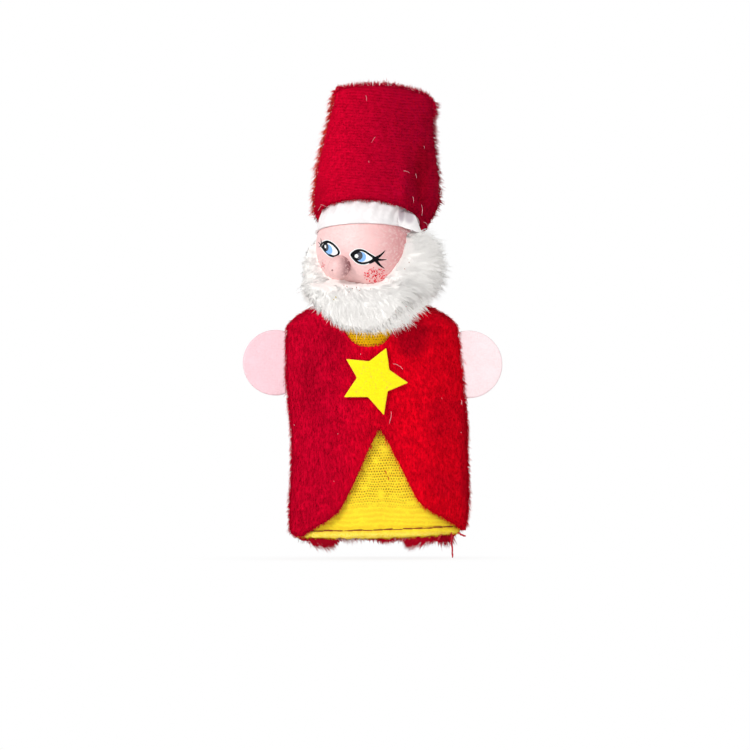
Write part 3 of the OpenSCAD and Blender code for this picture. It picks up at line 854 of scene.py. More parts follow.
def knit_finish(name, rgb):
    """Yellow knit: soft ribs across, with small ochre gaps between the stitches of each row."""
    finish = Finish(name)
    place = finish.place()
    x, _, z = finish.axes(place)
    wander = finish.noise(place, 120.0, 2.0)
    slight = finish.noise(place, 700.0, 2.0)
    row = z * (1000 / KNIT_ROW) + wander * 1.1 + slight * 0.35 + (x - 0.005) * (x - 0.005) * 900.0
    turn = finish.node("ShaderNodeMath", {"operation": "FLOOR"}, {0: row * 2.0})
    along_row = x * (1000 / KNIT_STITCH) + turn * 0.5 + wander * 1.2 + slight * 0.8
    gaps_x = (along_row * (2 * math.pi)).sine() * 0.5 + 0.5
    gaps_z = (row * (4 * math.pi)).sine() * 0.5 + 0.5
    ribs = (row * (2 * math.pi)).sine() * 0.5 + 0.5
    fuzz = finish.noise(place, 3400.0, 3.0)
    broken = finish.noise(place, 520.0, 3.0).clear(0.3, 0.52)
    low = z.clear(-0.0605, -0.053)
    gap = (gaps_x * gaps_z).clear(0.28, 0.66) * broken * low
    tone = finish.mix(fuzz.clear(0.3, 0.7), shade(rgb, 0.94), shade(rgb, 1.12))
    tone = finish.mix(ribs * broken * 0.35, tone, srgb(236, 172, 30))
    # A deeper, fuller yellow at the neck: partly the knit's ochre there, partly painted light against the
    # shade of the beard and the coat
    tone = finish.mix(z.clear(-0.02, -0.012), tone, srgb(255, 204, 0))
    tone = finish.mix(gap * (0.35 + slight * 0.9), tone, srgb(132, 84, 0))
    # Paler patches at the hem below the stitches: partly loose pale fibres, partly a painted highlight on
    # the turned hem's roll
    hem = (1 - z.clear(-0.0662, -0.0645)) * fuzz.clear(0.35, 0.65)
    tone = finish.mix(hem * 0.7, tone, srgb(255, 240, 130))
    height = fuzz * 0.35 - gap * 0.6 - ribs * 0.4
    return finish.surface(Base_Color=tone, Roughness=0.85 + fuzz * 0.1,
                          Normal=finish.bump(height, 0.6, 0.0004), Sheen_Weight=0.1,
                          Sheen_Roughness=0.5, Specular_IOR_Level=0.2)


def felt_finish(name, rgb, dark=0.8, mottle=0.0):
    """Pressed felt with short crossed fibres."""
    finish = Finish(name)
    place = finish.place()
    one = finish.noise(finish.scaled(place, 1, 1, 0.4), 2800.0, 4.0, 0.7)
    two = finish.noise(finish.scaled(place, 0.4, 1, 1), 2500.0, 4.0, 0.7)
    cloud = finish.noise(place, 240.0)
    fibres = one * 0.5 + two * 0.5
    tone = finish.mix(fibres.clear(0.36, 0.62), shade(rgb, dark), rgb)
    tone = finish.mix(cloud.clear(0.45, 0.7) * 0.3, tone, shade(rgb, 1.1))
    flecks = finish.noise(place, 1300.0, 3.0, 0.7).clear(0.58, 0.68)
    tone = finish.mix(flecks * mottle, tone, srgb(255, 196, 60))
    return finish.surface(Base_Color=tone, Roughness=0.88 + fibres * 0.1,
                          Normal=finish.bump(fibres, 0.55, 0.0003), Sheen_Weight=0.2,
                          Sheen_Roughness=0.5, Specular_IOR_Level=0.2)


def cotton_finish(name, rgb, folds=()):
    """Soft plain-woven cotton."""
    finish = Finish(name)
    place = finish.place()
    x, _, z = finish.axes(place)
    weave = (x * 12000.0).sine() * (z * 12000.0).sine()
    fuzz = finish.noise(place, 2600.0, 3.0)
    cloud = finish.noise(place, 300.0, 3.0)
    tone = finish.mix(cloud.clear(0.3, 0.65), shade(rgb, 0.87), rgb)
    # Painted shade, grey-purple, in the band's folds
    tone = finish.folded(tone, folds, srgb(150, 130, 146))
    return finish.surface(Base_Color=tone, Roughness=0.85 + fuzz * 0.1,
                          Normal=finish.bump(weave * 0.3 + fuzz * 0.7, 0.35, 0.0002),
                          Sheen_Weight=0.15, Specular_IOR_Level=0.2)


def thread_finish(name, rgb):
    """Twisted sewing thread."""
    finish = Finish(name)
    place = finish.place()
    x, y, z = finish.axes(place)
    twist = ((x + y + z) * 9000.0).sine() * 0.5 + 0.5
    fuzz = finish.noise(place, 4200.0, 2.0)
    tone = finish.mix(twist * 0.5 + fuzz * 0.3, shade(rgb, 0.7), shade(rgb, 1.15))
    return finish.surface(Base_Color=tone, Roughness=0.7 + fuzz * 0.2,
                          Normal=finish.bump(twist, 0.5, 0.0001))


# Head, in the photograph's pixels. An eye's ovals are a middle, two half sizes and a turn; a lash is a
# start, an end and a width; a cheek is a middle, two half sizes, a number of dots and their size


EYES = {
    "left": {
        "lid": [(320.4, 245.4), (323.6, 242.3), (327.8, 241.2), (332.2, 243.1), (336.2, 246.6),
                (338.8, 250.2), (339.6, 253.4), (337.4, 256.6), (333.6, 257.4), (329.4, 256.2),
                (325.6, 252.8), (322.6, 249)],
        "white": [(324, 246.6), (327.6, 243.2), (331.6, 244.7), (335.2, 248), (337.6, 251),
                  (338.2, 253.6), (336.4, 255.4), (333.6, 255.9), (330, 254.6), (326.6, 251.2)],
        "iris": ((328.8, 249.7), 3.5, 5.2, -25),
        "pupil": ((325.9, 247.2), 2.7, 4.3, -12),
        "gloss": ((326.9, 247.8), 1.3, 2.9, -12),
        "light": ((325.5, 247), 0.8, 1.7, -12),
        "lashes": [((321.4, 246), (320.8, 238), 1), ((321.2, 245.6), (317.8, 242), 1),
                   ((321.4, 246.2), (318.6, 247.6), 0.9)],
    },
    "right": {
        "lid": [(350.9, 255.2), (353.6, 252), (357.2, 250.2), (361.4, 250), (365.4, 251.4),
                (369.6, 254.2), (375.8, 258.6), (370.6, 262), (366, 264.3), (361.2, 264.5),
                (356.8, 262.8), (353, 259.2)],
        "white": [(353.4, 256), (356.6, 252.6), (360.8, 251.5), (364.8, 252.8), (369.2, 255.8),
                  (373, 258.9), (369.4, 261.6), (365.6, 262.7), (361.4, 262.9), (357.4, 261.2)],
        "iris": ((361.4, 257.5), 4.7, 4.9, 0),
        "pupil": ((358, 256.2), 4.7, 4.6, 0),
        "gloss": ((359.6, 256.6), 2.9, 3.5, 0),
        "light": ((356.6, 256.6), 1.9, 1.9, 0),
        "lashes": [((375, 259.3), (385.4, 250.8), 3.1), ((375.6, 259.6), (386.8, 259.9), 2.5),
                   ((375.2, 259.9), (384.6, 269), 3.3), ((369.5, 256.3), (378.5, 260.6), 2.4),
                   ((369.5, 263.2), (378.5, 258.6), 2.4)],
    },
}
STAR_CORNERS = [(386.6, 347.2), (389.7, 369.6), (409, 382.8), (388, 391.6), (384.2, 416), (367.8, 397.4),
                (343.2, 397.6), (356.5, 377.6), (345.4, 358.4), (369.2, 360.8)]
CHEEKS = {"right": ((375, 275.6), 11.5, 7.6, 120, 0.62), "left": ((322.4, 265.6), 5, 6.8, 26, 0.36)}
FACE_MIDDLE = (352, 262)

# Loose hairs and specks: where each starts and ends, in pixels
HAT_LINT = ((320.5, 205, 327, 208.5), (321, 206, 318, 211), (368.2, 161.2, 369, 163),
            (365.4, 95, 366.6, 101), (371.5, 143, 375, 137), (403, 171.5, 409.5, 173.5),
            (415, 174, 416.5, 178.5), (412.5, 197, 413.5, 203), (421.3, 205, 421.8, 216),
            (424, 146, 424.3, 148.4), (423, 222, 428, 230))
COAT_LINT = ((393, 364, 399, 366), (399, 366, 402.5, 369.5), (391, 411, 389, 424), (461, 400, 461.8, 405),
             (461.6, 400.5, 460.9, 404.6), (337.6, 433.3, 338.1, 434.2), (333.7, 480.4, 334.1, 481.4),
             (441.3, 397.8, 441.9, 398.8), (460.6, 431.8, 461, 433), (294, 424.4, 294.6, 425.6),
             (360.4, 353.6, 360.7, 354.8))
KNIT_LINT = ((385, 470.5, 386.2, 474), (388, 476.6, 388.5, 480))
FUR_LINT = ((346.6, 286.6, 347.4, 287.6), (352, 288.6, 352.8, 289.4), (356.4, 287.4, 357, 288.6),
            (359.4, 290.6, 360, 291.2), (349, 292, 349.6, 292.6), (343.6, 285.4, 344.4, 286.2),
            (370, 289.2, 370.6, 289.8), (408.6, 262.4, 409, 263.4), (404.2, 269, 404.8, 269.8))
FUR_STRAWS = ((335.6, 297, 336.2, 298.6), (333.4, 299.6, 334.2, 300.4))

# Outlines of the beard's lower edge and of the band's folded corner, in pixels
BEARD_EDGE = [(303, 290), (309, 299), (317, 306), (330, 317), (344, 325), (364, 332), (385, 331), (399, 327),
              (415, 320), (429, 302), (438, 282), (443, 262), (438, 247), (428, 235)]
BAND_FLAP = [(399, 210.5), (402, 209.6), (405.5, 210), (408, 213), (411.5, 214), (415, 215.4), (417, 219),
             (419, 225), (422, 233.5), (417, 233), (411, 230.5), (404.5, 228.6), (398.5, 226), (397.5, 217)]


def oval(centre, half_w, half_h, turn, corners=28):
    """Outline of an oval in the photograph's pixels."""
    angle = np.linspace(0, 2 * math.pi, corners, endpoint=False)
    x, y = half_w * np.cos(angle), half_h * np.sin(angle)
    c, s = math.cos(math.radians(turn)), math.sin(math.radians(turn))
    return np.stack([centre[0] + x * c - y * s, centre[1] + x * s + y * c], -1)


def stroke(start, end, width):
    """Outline of a brush stroke that thins out, in the photograph's pixels."""
    start, end = np.array(start), np.array(end)
    way = end - start
    side = np.array([-way[1], way[0]]) / np.linalg.norm(way) * width / 2
    bow = side * 0.5
    points = [start - way * 0.06, start + side, start + way * 0.5 + side * 0.7 + bow, end,
              start + way * 0.5 - side * 0.7 + bow, start - side]
    return closed_curve(points, 4)


class Patches:
    """Thin patches of paint on the head's front, gathered into one piece."""

    def __init__(self):
        self.points = []
        self.faces = []
        self.slots = []
        self.total = 0

    def add(self, outline, slot, out, rings=4):
        """Fills an outline in pixels with paint that stands out from the head."""
        flat = from_photo(outline)
        x, z = flat[:, 0], flat[:, 1]
        if np.sum(x * np.roll(z, -1) - z * np.roll(x, -1)) < 0:
            flat = flat[::-1]
        middle = flat.mean(0)
        steps = np.arange(1, rings + 1)[:, None, None] / rings
        grid = lerp(middle, flat[None], steps).reshape(-1, 2)
        grid = np.concatenate([middle[None], grid])
        amount = len(flat)
        ring = np.arange(amount)
        after = (ring + 1) % amount
        self.faces.append(self.total + np.stack([0 * ring, 1 + ring, 1 + after], 1))
        added = amount
        for k in range(rings - 1):
            inner, outer = 1 + k * amount, 1 + (k + 1) * amount
            quads = np.stack([inner + ring, outer + ring, outer + after, inner + after], 1)
            self.faces.append(self.total + quads[:, [0, 1, 2]])
            self.faces.append(self.total + quads[:, [0, 2, 3]])
            added += 2 * amount
        self.slots += [slot] * added
        self.points.append(on_ball(grid[:, 0], grid[:, 1], out))
        self.total += len(grid)

    def piece(self, name, finishes, body, slot):
        """All the patches as one piece, each with its own finish."""
        made = make_piece(name, np.concatenate(self.points), [np.concatenate(self.faces)],
                          finishes, body, slot)
        made.data.polygons.foreach_set("material_index", np.array(self.slots, np.int32))
        return made


class PUPPET_OT_paint_head(bpy.types.Operator):
    """Paints the wooden head and its nose"""
    bl_idname = "puppet.paint_head"
    bl_label = "Paint head and nose"

    def execute(self, context):
        paint = context.scene.puppet_paint
        face = wood_paint("Face paint", paint.skin, 0.12, paint.skin_shaded_side, FACE_SHADE)
        nose = wood_paint("Nose paint", paint.nose, 0.3, paint.nose_shaded_side, NOSE_SHADE, NOSE_DOT)
        repaint(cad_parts["head_ball"].data, face)
        repaint(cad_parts["nose"].data, nose)
        return {"FINISHED"}


class PUPPET_OT_paint_face(bpy.types.Operator):
    """Paints the eyes, the lashes and the dots on the cheeks"""
    bl_idname = "puppet.paint_face"
    bl_label = "Paint face"

    def execute(self, context):
        paint = context.scene.puppet_paint
        patches = Patches()
        white, black, blue, grey, red = range(5)
        for eye in EYES.values():
            for part, share, slot, out in (("lid", 1.14, white, 0.02), ("lid", 1.04, black, 0.035),
                                           ("white", 0.95, white, 0.05)):
                line = closed_curve(eye[part], 4)
                patches.add(lerp(line.mean(0), line, share), slot, out)
            for part, slot, out in (("iris", blue, 0.06), ("pupil", black, 0.07),
                                    ("gloss", grey, 0.08), ("light", white, 0.09)):
                patches.add(oval(*eye[part]), slot, out)
            for start, end, width in eye["lashes"]:
                patches.add(stroke(start, end, width), black, 0.045)
        rng = np.random.default_rng(5)
        for centre, half_w, half_h, dots, dot in CHEEKS.values():
            for _ in range(dots):
                reach, angle = rng.random() ** 0.6, rng.random() * 2 * math.pi
                spot = (centre[0] + half_w * reach * math.cos(angle),
                        centre[1] + half_h * reach * math.sin(angle))
                patches.add(oval(spot, dot * (0.6 + 0.5 * rng.random()), dot * (0.5 + rng.random()),
                                 180 * rng.random(), 8), red, 0.02, 1)
        patches.piece("face_paint", [
            line_paint("Eye white", paint.white), line_paint("Eye black", paint.black, 0.6),
            line_paint("Eye blue", paint.iris), line_paint("Eye grey", srgb(84, 86, 96), 0.5),
            line_paint("Cheek red", paint.blush, 0.5)], "head", "painted_wood")
        return {"FINISHED"}


class PUPPET_OT_sew_band(bpy.types.Operator):
    """Makes the white cotton band under the hat"""
    bl_idname = "puppet.sew_band"
    bl_label = "Sew forehead band"

    def execute(self, context):
        turn = np.linspace(-math.pi, math.pi, 200, endpoint=False)[None, :]
        step = np.linspace(0, 1, 30)[:, None]
        tilt = math.radians(-BAND_TILT)

        def layer(out, shrink):
            """The band round the head at a radius, its two edges drawn in by a few degrees."""
            low = math.radians(BAND_LOW + shrink)
            high = math.asin(BAND_TOP_Z / BAND_R) - math.radians(shrink)
            rise = lerp(low, high, step) + 0 * turn
            x = out * np.cos(rise) * np.cos(turn)
            y = out * np.cos(rise) * np.sin(turn)
            z = out * np.sin(rise)
            return points_at(x, y * math.cos(tilt) - z * math.sin(tilt),
                             y * math.sin(tilt) + z * math.cos(tilt) + BALL_Z)

        outer, inner = layer(BAND_R, 0), layer(BAND_LINING_R, 0.6)
        rim = hat_point(turn[0], 0.05, HAT_WALL + 0.15)
        outer = lerp(outer, rim, ease((step - 0.12) / 0.7)[..., None])
        pleat = (0.24 * np.sin(17 * turn + 2 * step) + 0.16 * np.sin(29 * turn - 3 * step)
                 - 0.9 * swell(turn, -0.62, 0.06) + 0.5 * swell(turn, -0.5, 0.1)) * ease(step * 2.5)
        soft = 0.2 * cloudy(outer, 2.4, 3) + 0.08 * cloudy(outer, 0.9, 5)
        outer = outer + outward_at(outer) * (pleat + soft)[..., None]
        points, faces = sheet_mesh(outer, inner, wrap=True)
        finish = cotton_finish("White cotton", srgb(250, 246, 246), BAND_FOLDS)
        made = make_piece("forehead_band_cloth", points, faces, finish, "head", "white_cloth")
        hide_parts("forehead_band")

        def bend(x, z, depth):
            """The folded corner lies on the band and stands off it to one side."""
            reach = BAND_R + 0.5 + depth + 3.6 * ease((x - 9) / 8)
            return points_at(x, -np.sqrt(np.maximum(reach ** 2 - x ** 2 - (z - BALL_Z) ** 2, 0.6)), z)

        felt_slab("forehead_band_flap", from_photo(BAND_FLAP)[::-1], bend, 0.2, finish, "head",
                  "white_cloth")
        around = 2 * math.pi * BAND_R * math.cos(math.radians(BAND_LOW)) * MM
        around * BAND_MEAN_HEIGHT * MM
        return {"FINISHED"}


# Fur


def comb(points, down, spread, clump, seed):
    """Direction that fur takes at points: off the head, away from the face and down, in locks."""
    outward = outward_at(points)
    turn, dip = math.radians(NOSE_TURN), math.radians(NOSE_DIP)
    face = np.array([-math.sin(turn) * math.cos(dip), -math.cos(turn) * math.cos(dip), 0.1])
    away = unit((outward @ face)[:, None] * outward - face)
    away = away * (1.1 * ease(off_head(points) / 2.6) - 0.35)[:, None]
    locks = cloudy(points, 2.6, seed, True) + 0.6 * cloudy(points, 1.1, seed + 9, True)
    return unit(outward * spread + away + np.array([0, 0, -down]) + locks * clump)


def settle_beard(points):
    """Where the beard's cloth lies as worn: flatter at one side, fuller at the other, lower at the chin."""
    x, z = points[:, 0], points[:, 2]
    points = points.copy()
    points[:, 0] = x + 0.4 * np.maximum(0, -14.5 - x) + 0.3 * np.maximum(0, x - 12)
    far = np.linalg.norm(points - BALL_CENTRE, axis=1, keepdims=True)
    near = np.clip(1 - off_head(points) / 3, 0, 1) * ease((13 - z) / 3)
    points[:, 2] -= 2.3 * swell(x, 2.5, 6.5) * near * (points[:, 1] < -4)
    return BALL_CENTRE + outward_at(points) * far


def settle_back(points):
    """Where the fur behind the head lies as worn: pressed flatter on one side."""
    points = points.copy()
    points[:, 0] += 0.6 * np.maximum(0, -13 - points[:, 0])
    return points


def fur_cloth(name, node, finish, settle):
    """The fur's own cloth: the frame's form made even, rounder and matted, and tucked to the head."""
    made = new_object(name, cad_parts[node].data.copy())
    even = made.modifiers.new("Even", "REMESH")
    even.mode = "VOXEL"
    even.voxel_size = FUR_GRAIN * MM
    made.modifiers.new("Smooth", "SMOOTH").iterations = 8
    bpy.context.view_layer.update()
    seen = made.evaluated_get(bpy.context.evaluated_depsgraph_get())
    mesh = bpy.data.meshes.new_from_object(seen)
    made.modifiers.clear()
    made.data = mesh
    repaint(mesh, finish)
    points, normals = mesh_points(mesh)
    matted = cloudy(points * [1, 1, 0.6], 0.9, 4) * FUR_MATTING
    tucked = 0.7 * np.clip(1 - off_head(points) / 1.2, 0, 1)
    points = settle(points + normals * matted[:, None] - outward_at(points) * tucked[:, None])
    mesh.vertices.foreach_set("co", (points * MM).astype(np.float32).ravel())
    mesh.shade_smooth()
    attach(made, "head")
    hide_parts(node)
    return made


def mesh_points(mesh):
    """Points of a mesh in millimetres and the directions that they face."""
    points = np.empty(len(mesh.vertices) * 3, np.float32)
    normals = np.empty(len(mesh.vertices) * 3, np.float32)
    mesh.vertices.foreach_get("co", points)
    mesh.vertex_normals.foreach_get("vector", normals)
    return points.reshape(-1, 3).astype(float) / MM, normals.reshape(-1, 3).astype(float)


def fur_roots(mesh, amount, rng, keep):
    """Random places on a mesh where keep says so, with the directions that they face."""
    points, normals = mesh_points(mesh)
    mesh.calc_loop_triangles()
    corners = np.empty(len(mesh.loop_triangles) * 3, np.int32)
    mesh.loop_triangles.foreach_get("vertices", corners)
    corners = corners.reshape(-1, 3)
    middle, facing = points[corners].mean(1), unit(normals[corners].mean(1))
    a, b, c = (points[corners[:, k]] for k in range(3))
    area = np.linalg.norm(np.cross(b - a, c - a), axis=1) * keep(middle, facing)
    pick = rng.choice(len(area), amount, p=area / area.sum())
    u, v = rng.random((2, amount, 1))
    u, v = np.where(u + v > 1, 1 - u, u), np.where(u + v > 1, 1 - v, v)
    return a[pick] + (b - a)[pick] * u + (c - a)[pick] * v, facing[pick]


def grow_fur(name, cloth, amount, long, keep, lengths, down, finish, slot, seed):
    """Hairs on a fur cloth, in two pieces so that neither is too heavy."""
    rng = np.random.default_rng(seed)
    roots, facing = fur_roots(cloth.data, amount, rng, keep)
    reach = long / MM * lengths(roots) * (0.7 + 0.5 * rng.random(amount))
    start = unit(facing * 0.9 + comb(roots, down * 0.4, 0.7, 0.3, seed))
    lay = comb(roots, down, 0.42, 0.45, seed)
    into = np.minimum(0, (lay * facing).sum(1, keepdims=True))
    end = tufted(roots, unit(lay - facing * into + facing * 0.3), reach, 22, rng, 1.1)
    half = amount // 2
    for part, pick in (("", np.s_[:half]), ("_under", np.s_[half:])):
        lit = facing[pick] + start[pick] * 0.5 + [-0.1, -0.25, 0.15]
        points, faces, marks = hairs(roots[pick] - facing[pick] * 0.2, start[pick], end[pick],
                                     reach[pick], 0.2, rng, lit, 4)
        lighten(make_piece(name + part, points, faces, finish, "head", slot, marks))


class PUPPET_OT_grow_beard(bpy.types.Operator):
    """Makes the beard from a fur strip and its long hairs"""
    bl_idname = "puppet.grow_beard"
    bl_label = "Grow beard"

    def execute(self, context):
        fur = context.scene.puppet_fur
        finish = fur_finish("White fur", fur.fur)
        matted = fur_finish("White fur cloth", fur.fur, False)
        cloth = fur_cloth("beard_cloth", "beard", matted, settle_beard)

        def keep(points, facing):
            turned_out = ((facing * outward_at(points)).sum(1) > -0.3) & (off_head(points) > 0.05)
            return turned_out * (1 + 2 * (off_head(points) < 1.4))

        def lengths(points):
            left = ease((-9 - points[:, 0]) / 8)
            right = ease((points[:, 0] - 8) / 7)
            low = ease((4 - points[:, 2]) / 8)
            edge = 0.36 + 0.36 * ease(off_head(points) / 3.2)
            high = 0.6 * ease((points[:, 2] - 15) / 4) * left
            return edge * (1 - 0.6 * left) * (1 - 0.45 * low) * (1 + 0.35 * right) * (1 - high)

        grow_fur("beard_hair", cloth, fur.beard_strands, fur.beard_hair, keep, lengths, 0.3,
                 finish, "white_fur", 11)
        edge = from_photo(BEARD_EDGE)
        away = unit(edge - from_photo(FACE_MIDDLE))
        reach = along(edge[:, 0], BEARD_EDGE_REACH)
        inner = edge - away * (0.85 * reach + 0.8)[:, None]
        line = points_at(inner[:, 0], along(inner[:, 0], BEARD_EDGE_Y), inner[:, 1])
        ways = points_at(away[:, 0], -0.15, away[:, 1])
        lighten(fringe("beard_edge_hair", line, ways, reach + 0.7, 5000, 20, finish, "head", "white_fur",
                       13, 0.9, 0.2))
        return {"FINISHED"}


class PUPPET_OT_grow_back_hair(bpy.types.Operator):
    """Makes the hair behind the head from fur"""
    bl_idname = "puppet.grow_back_hair"
    bl_label = "Grow back hair"

    def execute(self, context):
        fur = context.scene.puppet_fur
        finish = fur_finish("White back fur", fur.fur)
        matted = fur_finish("White back fur cloth", fur.fur, False)
        cloth = fur_cloth("back_hair_cloth", "back_hair", matted, settle_back)

        def keep(points, facing):
            return ((facing * outward_at(points)).sum(1) > -0.1) & (off_head(points) > 0.6)

        def lengths(points):
            left = ease((-6 - points[:, 0]) / 8) * ease((points[:, 2] - 5) / 5)
            return (0.6 + 0.4 * ease((18 - points[:, 2]) / 12)) * (1 - 0.7 * left)

        grow_fur("back_hair_hair", cloth, fur.back_strands, fur.back_hair, keep, lengths, 0.8,
                 finish, "white_fur", 12)
        return {"FINISHED"}


# Hat and robe


def pile_lay(points, facing, lay, rng, spread):
    """Where pile points: half up from the cloth at its root, and lying along lay at its tip."""
    amount = len(points)
    swirl = cloudy(points, 7.0, 2, True) * 0.3 + rng.normal(size=(amount, 3)) * spread
    start = unit(facing * 0.9 + lay * 0.7 + swirl * 0.6)
    end = unit(facing * 0.25 + lay + swirl)
    return start, end


def grow_pile(name, spots, amount, long, thick, lay, finish, body, slot, seed, spread=0.14, rows=0.0):
    """Short pile on a grid of points, in rows where asked; lay gives its direction from the cloth's."""
    rng = np.random.default_rng(seed)
    roots, facing = scatter(spots, amount, rng)
    if rows:
        wave = cloudy(roots, 24.0, 5) * 1.5 + roots[:, 0] * 0.06
        inside = ((roots[:, 2] + wave) / rows) % 1
        gathered = rows * (0.46 + 0.24 * ease((roots[:, 0] - 6) / 8))
        roots = roots - np.array([0, 0, 1]) * (inside * gathered)[:, None]
    start, end = pile_lay(roots, facing, lay(facing), rng, spread)
    reach = long / MM * (0.6 + 0.6 * rng.random(amount))
    points, faces, marks = hairs(roots - facing * 0.1, start, end, reach, thick, rng, facing, 2)
    return make_piece(name, points, faces, finish, body, slot, marks)


def downward(facing):
    """Along the cloth and down."""
    return unit(facing * facing[:, 2:3] - [0, 0, 1])


class PUPPET_OT_sew_hat(bpy.types.Operator):
    """Sews the tall plush hat and closes its top"""
    bl_idname = "puppet.sew_hat"
    bl_label = "Sew hat"

    def execute(self, context):
        cloth = context.scene.puppet_cloth
        reds = cloth.hat, cloth.hat_shaded_side
        finish = plush_finish("Hat pile", *reds, depth=0.88, folds=HAT_FOLDS)
        backing = plush_finish("Hat plush", *reds, 0.0008, 0.6, HAT_FOLDS, False)
        turn = np.linspace(-math.pi, math.pi, 168, endpoint=False)[None, :]
        step = np.linspace(0, 1, 84)[:, None] ** 0.92
        outer = hat_point(turn, step, 0.15)
        inner = hat_point(turn, step * 0.97, HAT_WALL)
        inner[-1, :, 1] = HAT_BACK + HAT_LEAN * 0.97
        outer = outer + normals_of(outer, True) * 0.28 * cloudy(outer * [1, 1, 0.5], 4.5, 7)[..., None]
        points, faces = sheet_mesh(outer, inner, wrap=True)
        made = make_piece("hat_cloth", points, faces, backing, "head", "hat_plush")
        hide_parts("hat")
        rings = np.linalg.norm(np.roll(outer, -1, 1) - outer, axis=-1).sum(1)

        def lay(facing):
            """Down, and a little to the hat's left."""
            return unit(downward(facing) - [0.35, 0, 0])

        up = np.linspace(0.02, 0.99, 60)
        corner = np.linspace(0.9, 1, 8)
        round_top = np.linspace(-math.pi, math.pi, 90)
        front = np.linspace(-math.pi * 0.98, 0, 80)
        wisps = plush_finish("Hat wisps", cloth.wisp, cloth.hat_shaded_side)
        for name, line, ways, reach, amount, every, kind in (
                ("hat_left_wisps", hat_point(math.pi, up, 0.2), (-0.8, -0.1, -0.6), 2.3, 700, 13, wisps),
                ("hat_right_wisps", hat_point(0, up, 0.2), (0.75, -0.1, -0.45), 1.6, 700, 11, finish),
                ("hat_top_pile", hat_point(round_top, 0.995, 0.5), (0, 0, 1), 1.5, 1500, 9, finish),
                ("hat_right_corner_pile", hat_point(0, corner, 0.3), (0.9, 0, -0.1), 2.4, 160, 12, finish),
                ("hat_left_corner_pile", hat_point(math.pi, corner, 0.3), (-0.9, 0, 0.1), 1.3, 160, 12,
                 finish),
                ("hat_rim_pile", hat_point(front, 0.012, 0.3), (0, -0.3, -1), 1.0, 1400, 9, finish)):
            fringe(name, line, ways, reach, amount, every, kind, "head", "hat_plush", 61)

        wrapped = np.concatenate([outer, outer[:, :1]], 1)
        grow_pile("hat_pile", wrapped, cloth.hat_strands, cloth.hat_pile, 0.14, lay, finish, "head",
                  "hat_plush", 21, rows=0.85)
        return {"FINISHED"}


def robe_sheet(name, side, out, under, low, high, finish, slot, rows=96, cols=110, rough=0.12, seed=0,
               puff=None):
    """One panel of the robe as a closed sheet with small creases: the piece and its outer points."""
    outer = robe_grid(side, out, low, high, rows, cols)
    inner = robe_grid(side, under, low, high, rows, cols)
    facing = normals_of(outer) * -side
    crease = rough * (cloudy(outer * [1, 1, 0.45], 3.6, seed) + 0.6 * cloudy(outer, 1.6, seed + 3))
    if puff:
        crease = crease + puff(outer)
    edge = np.sin(np.linspace(0, math.pi, cols))[None, :] ** 0.3
    outer = outer + facing * (crease * edge)[..., None]
    points, faces = sheet_mesh(outer, inner, front=side < 0)
    made = make_piece(name, points, faces, finish, "robe", slot)
    return made, outer if side < 0 else outer[:, ::-1]


class PUPPET_OT_knit_tunic(bpy.types.Operator):
    """Knits the yellow tunic with its turned and stitched hem"""
    bl_idname = "puppet.knit_tunic"
    bl_label = "Knit tunic"

    def execute(self, context):
        cloth = context.scene.puppet_cloth
        finish = knit_finish("Yellow knit", cloth.knit)

        def hem_z(angle):
            """The tunic's lower edge with its small scallops."""
            return tunic_hem_z(angle) - 0.22 * np.abs(np.sin(13 * angle)) + 0.1 * np.sin(37 * angle)

        def puff(points):
            """The turned hem swells out below its stitches."""
            across = np.clip((points[..., 0] - robe_x(points[..., 2])) / (HEM_HALF_W - COAT_OUT), -1, 1)
            above = points[..., 2] - stitch_line_z(across)
            roll = 0.9 * np.clip(1 - ((above + 1.2) / 1.2) ** 2, 0, 1) ** 0.5
            pucker = 0.12 * np.sin(points[..., 0] * 2 * math.pi / STITCH_PITCH) * swell(above, 0, 1)
            return roll * (1 + 0.35 * cloudy(points, 1.3, 12)) - 0.35 * swell(above, 0, 0.35) + pucker

        for side, node in ((-1, "tunic_front"), (1, "tunic_back")):
            made, _ = robe_sheet(node + "_cloth", side, KNIT_T, 0.05, hem_z, collar_z, finish,
                                 "yellow_knit", 150, 110, 0.1, 31 + side, puff)
            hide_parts(node)
        angle = np.linspace(-1.5, 1.5, 120)
        loose = plush_finish("Loose yellow", cloth.knit, cloth.knit)
        made = fringe("hem_fuzz", robe_point(-1, angle, hem_z(angle) + 0.5, KNIT_T), (0, -0.8, -0.7), 0.8,
                      2600, 7, loose, "robe", "yellow_knit", 66, 0.3, 0.13)
        made.visible_shadow = False
        return {"FINISHED"}


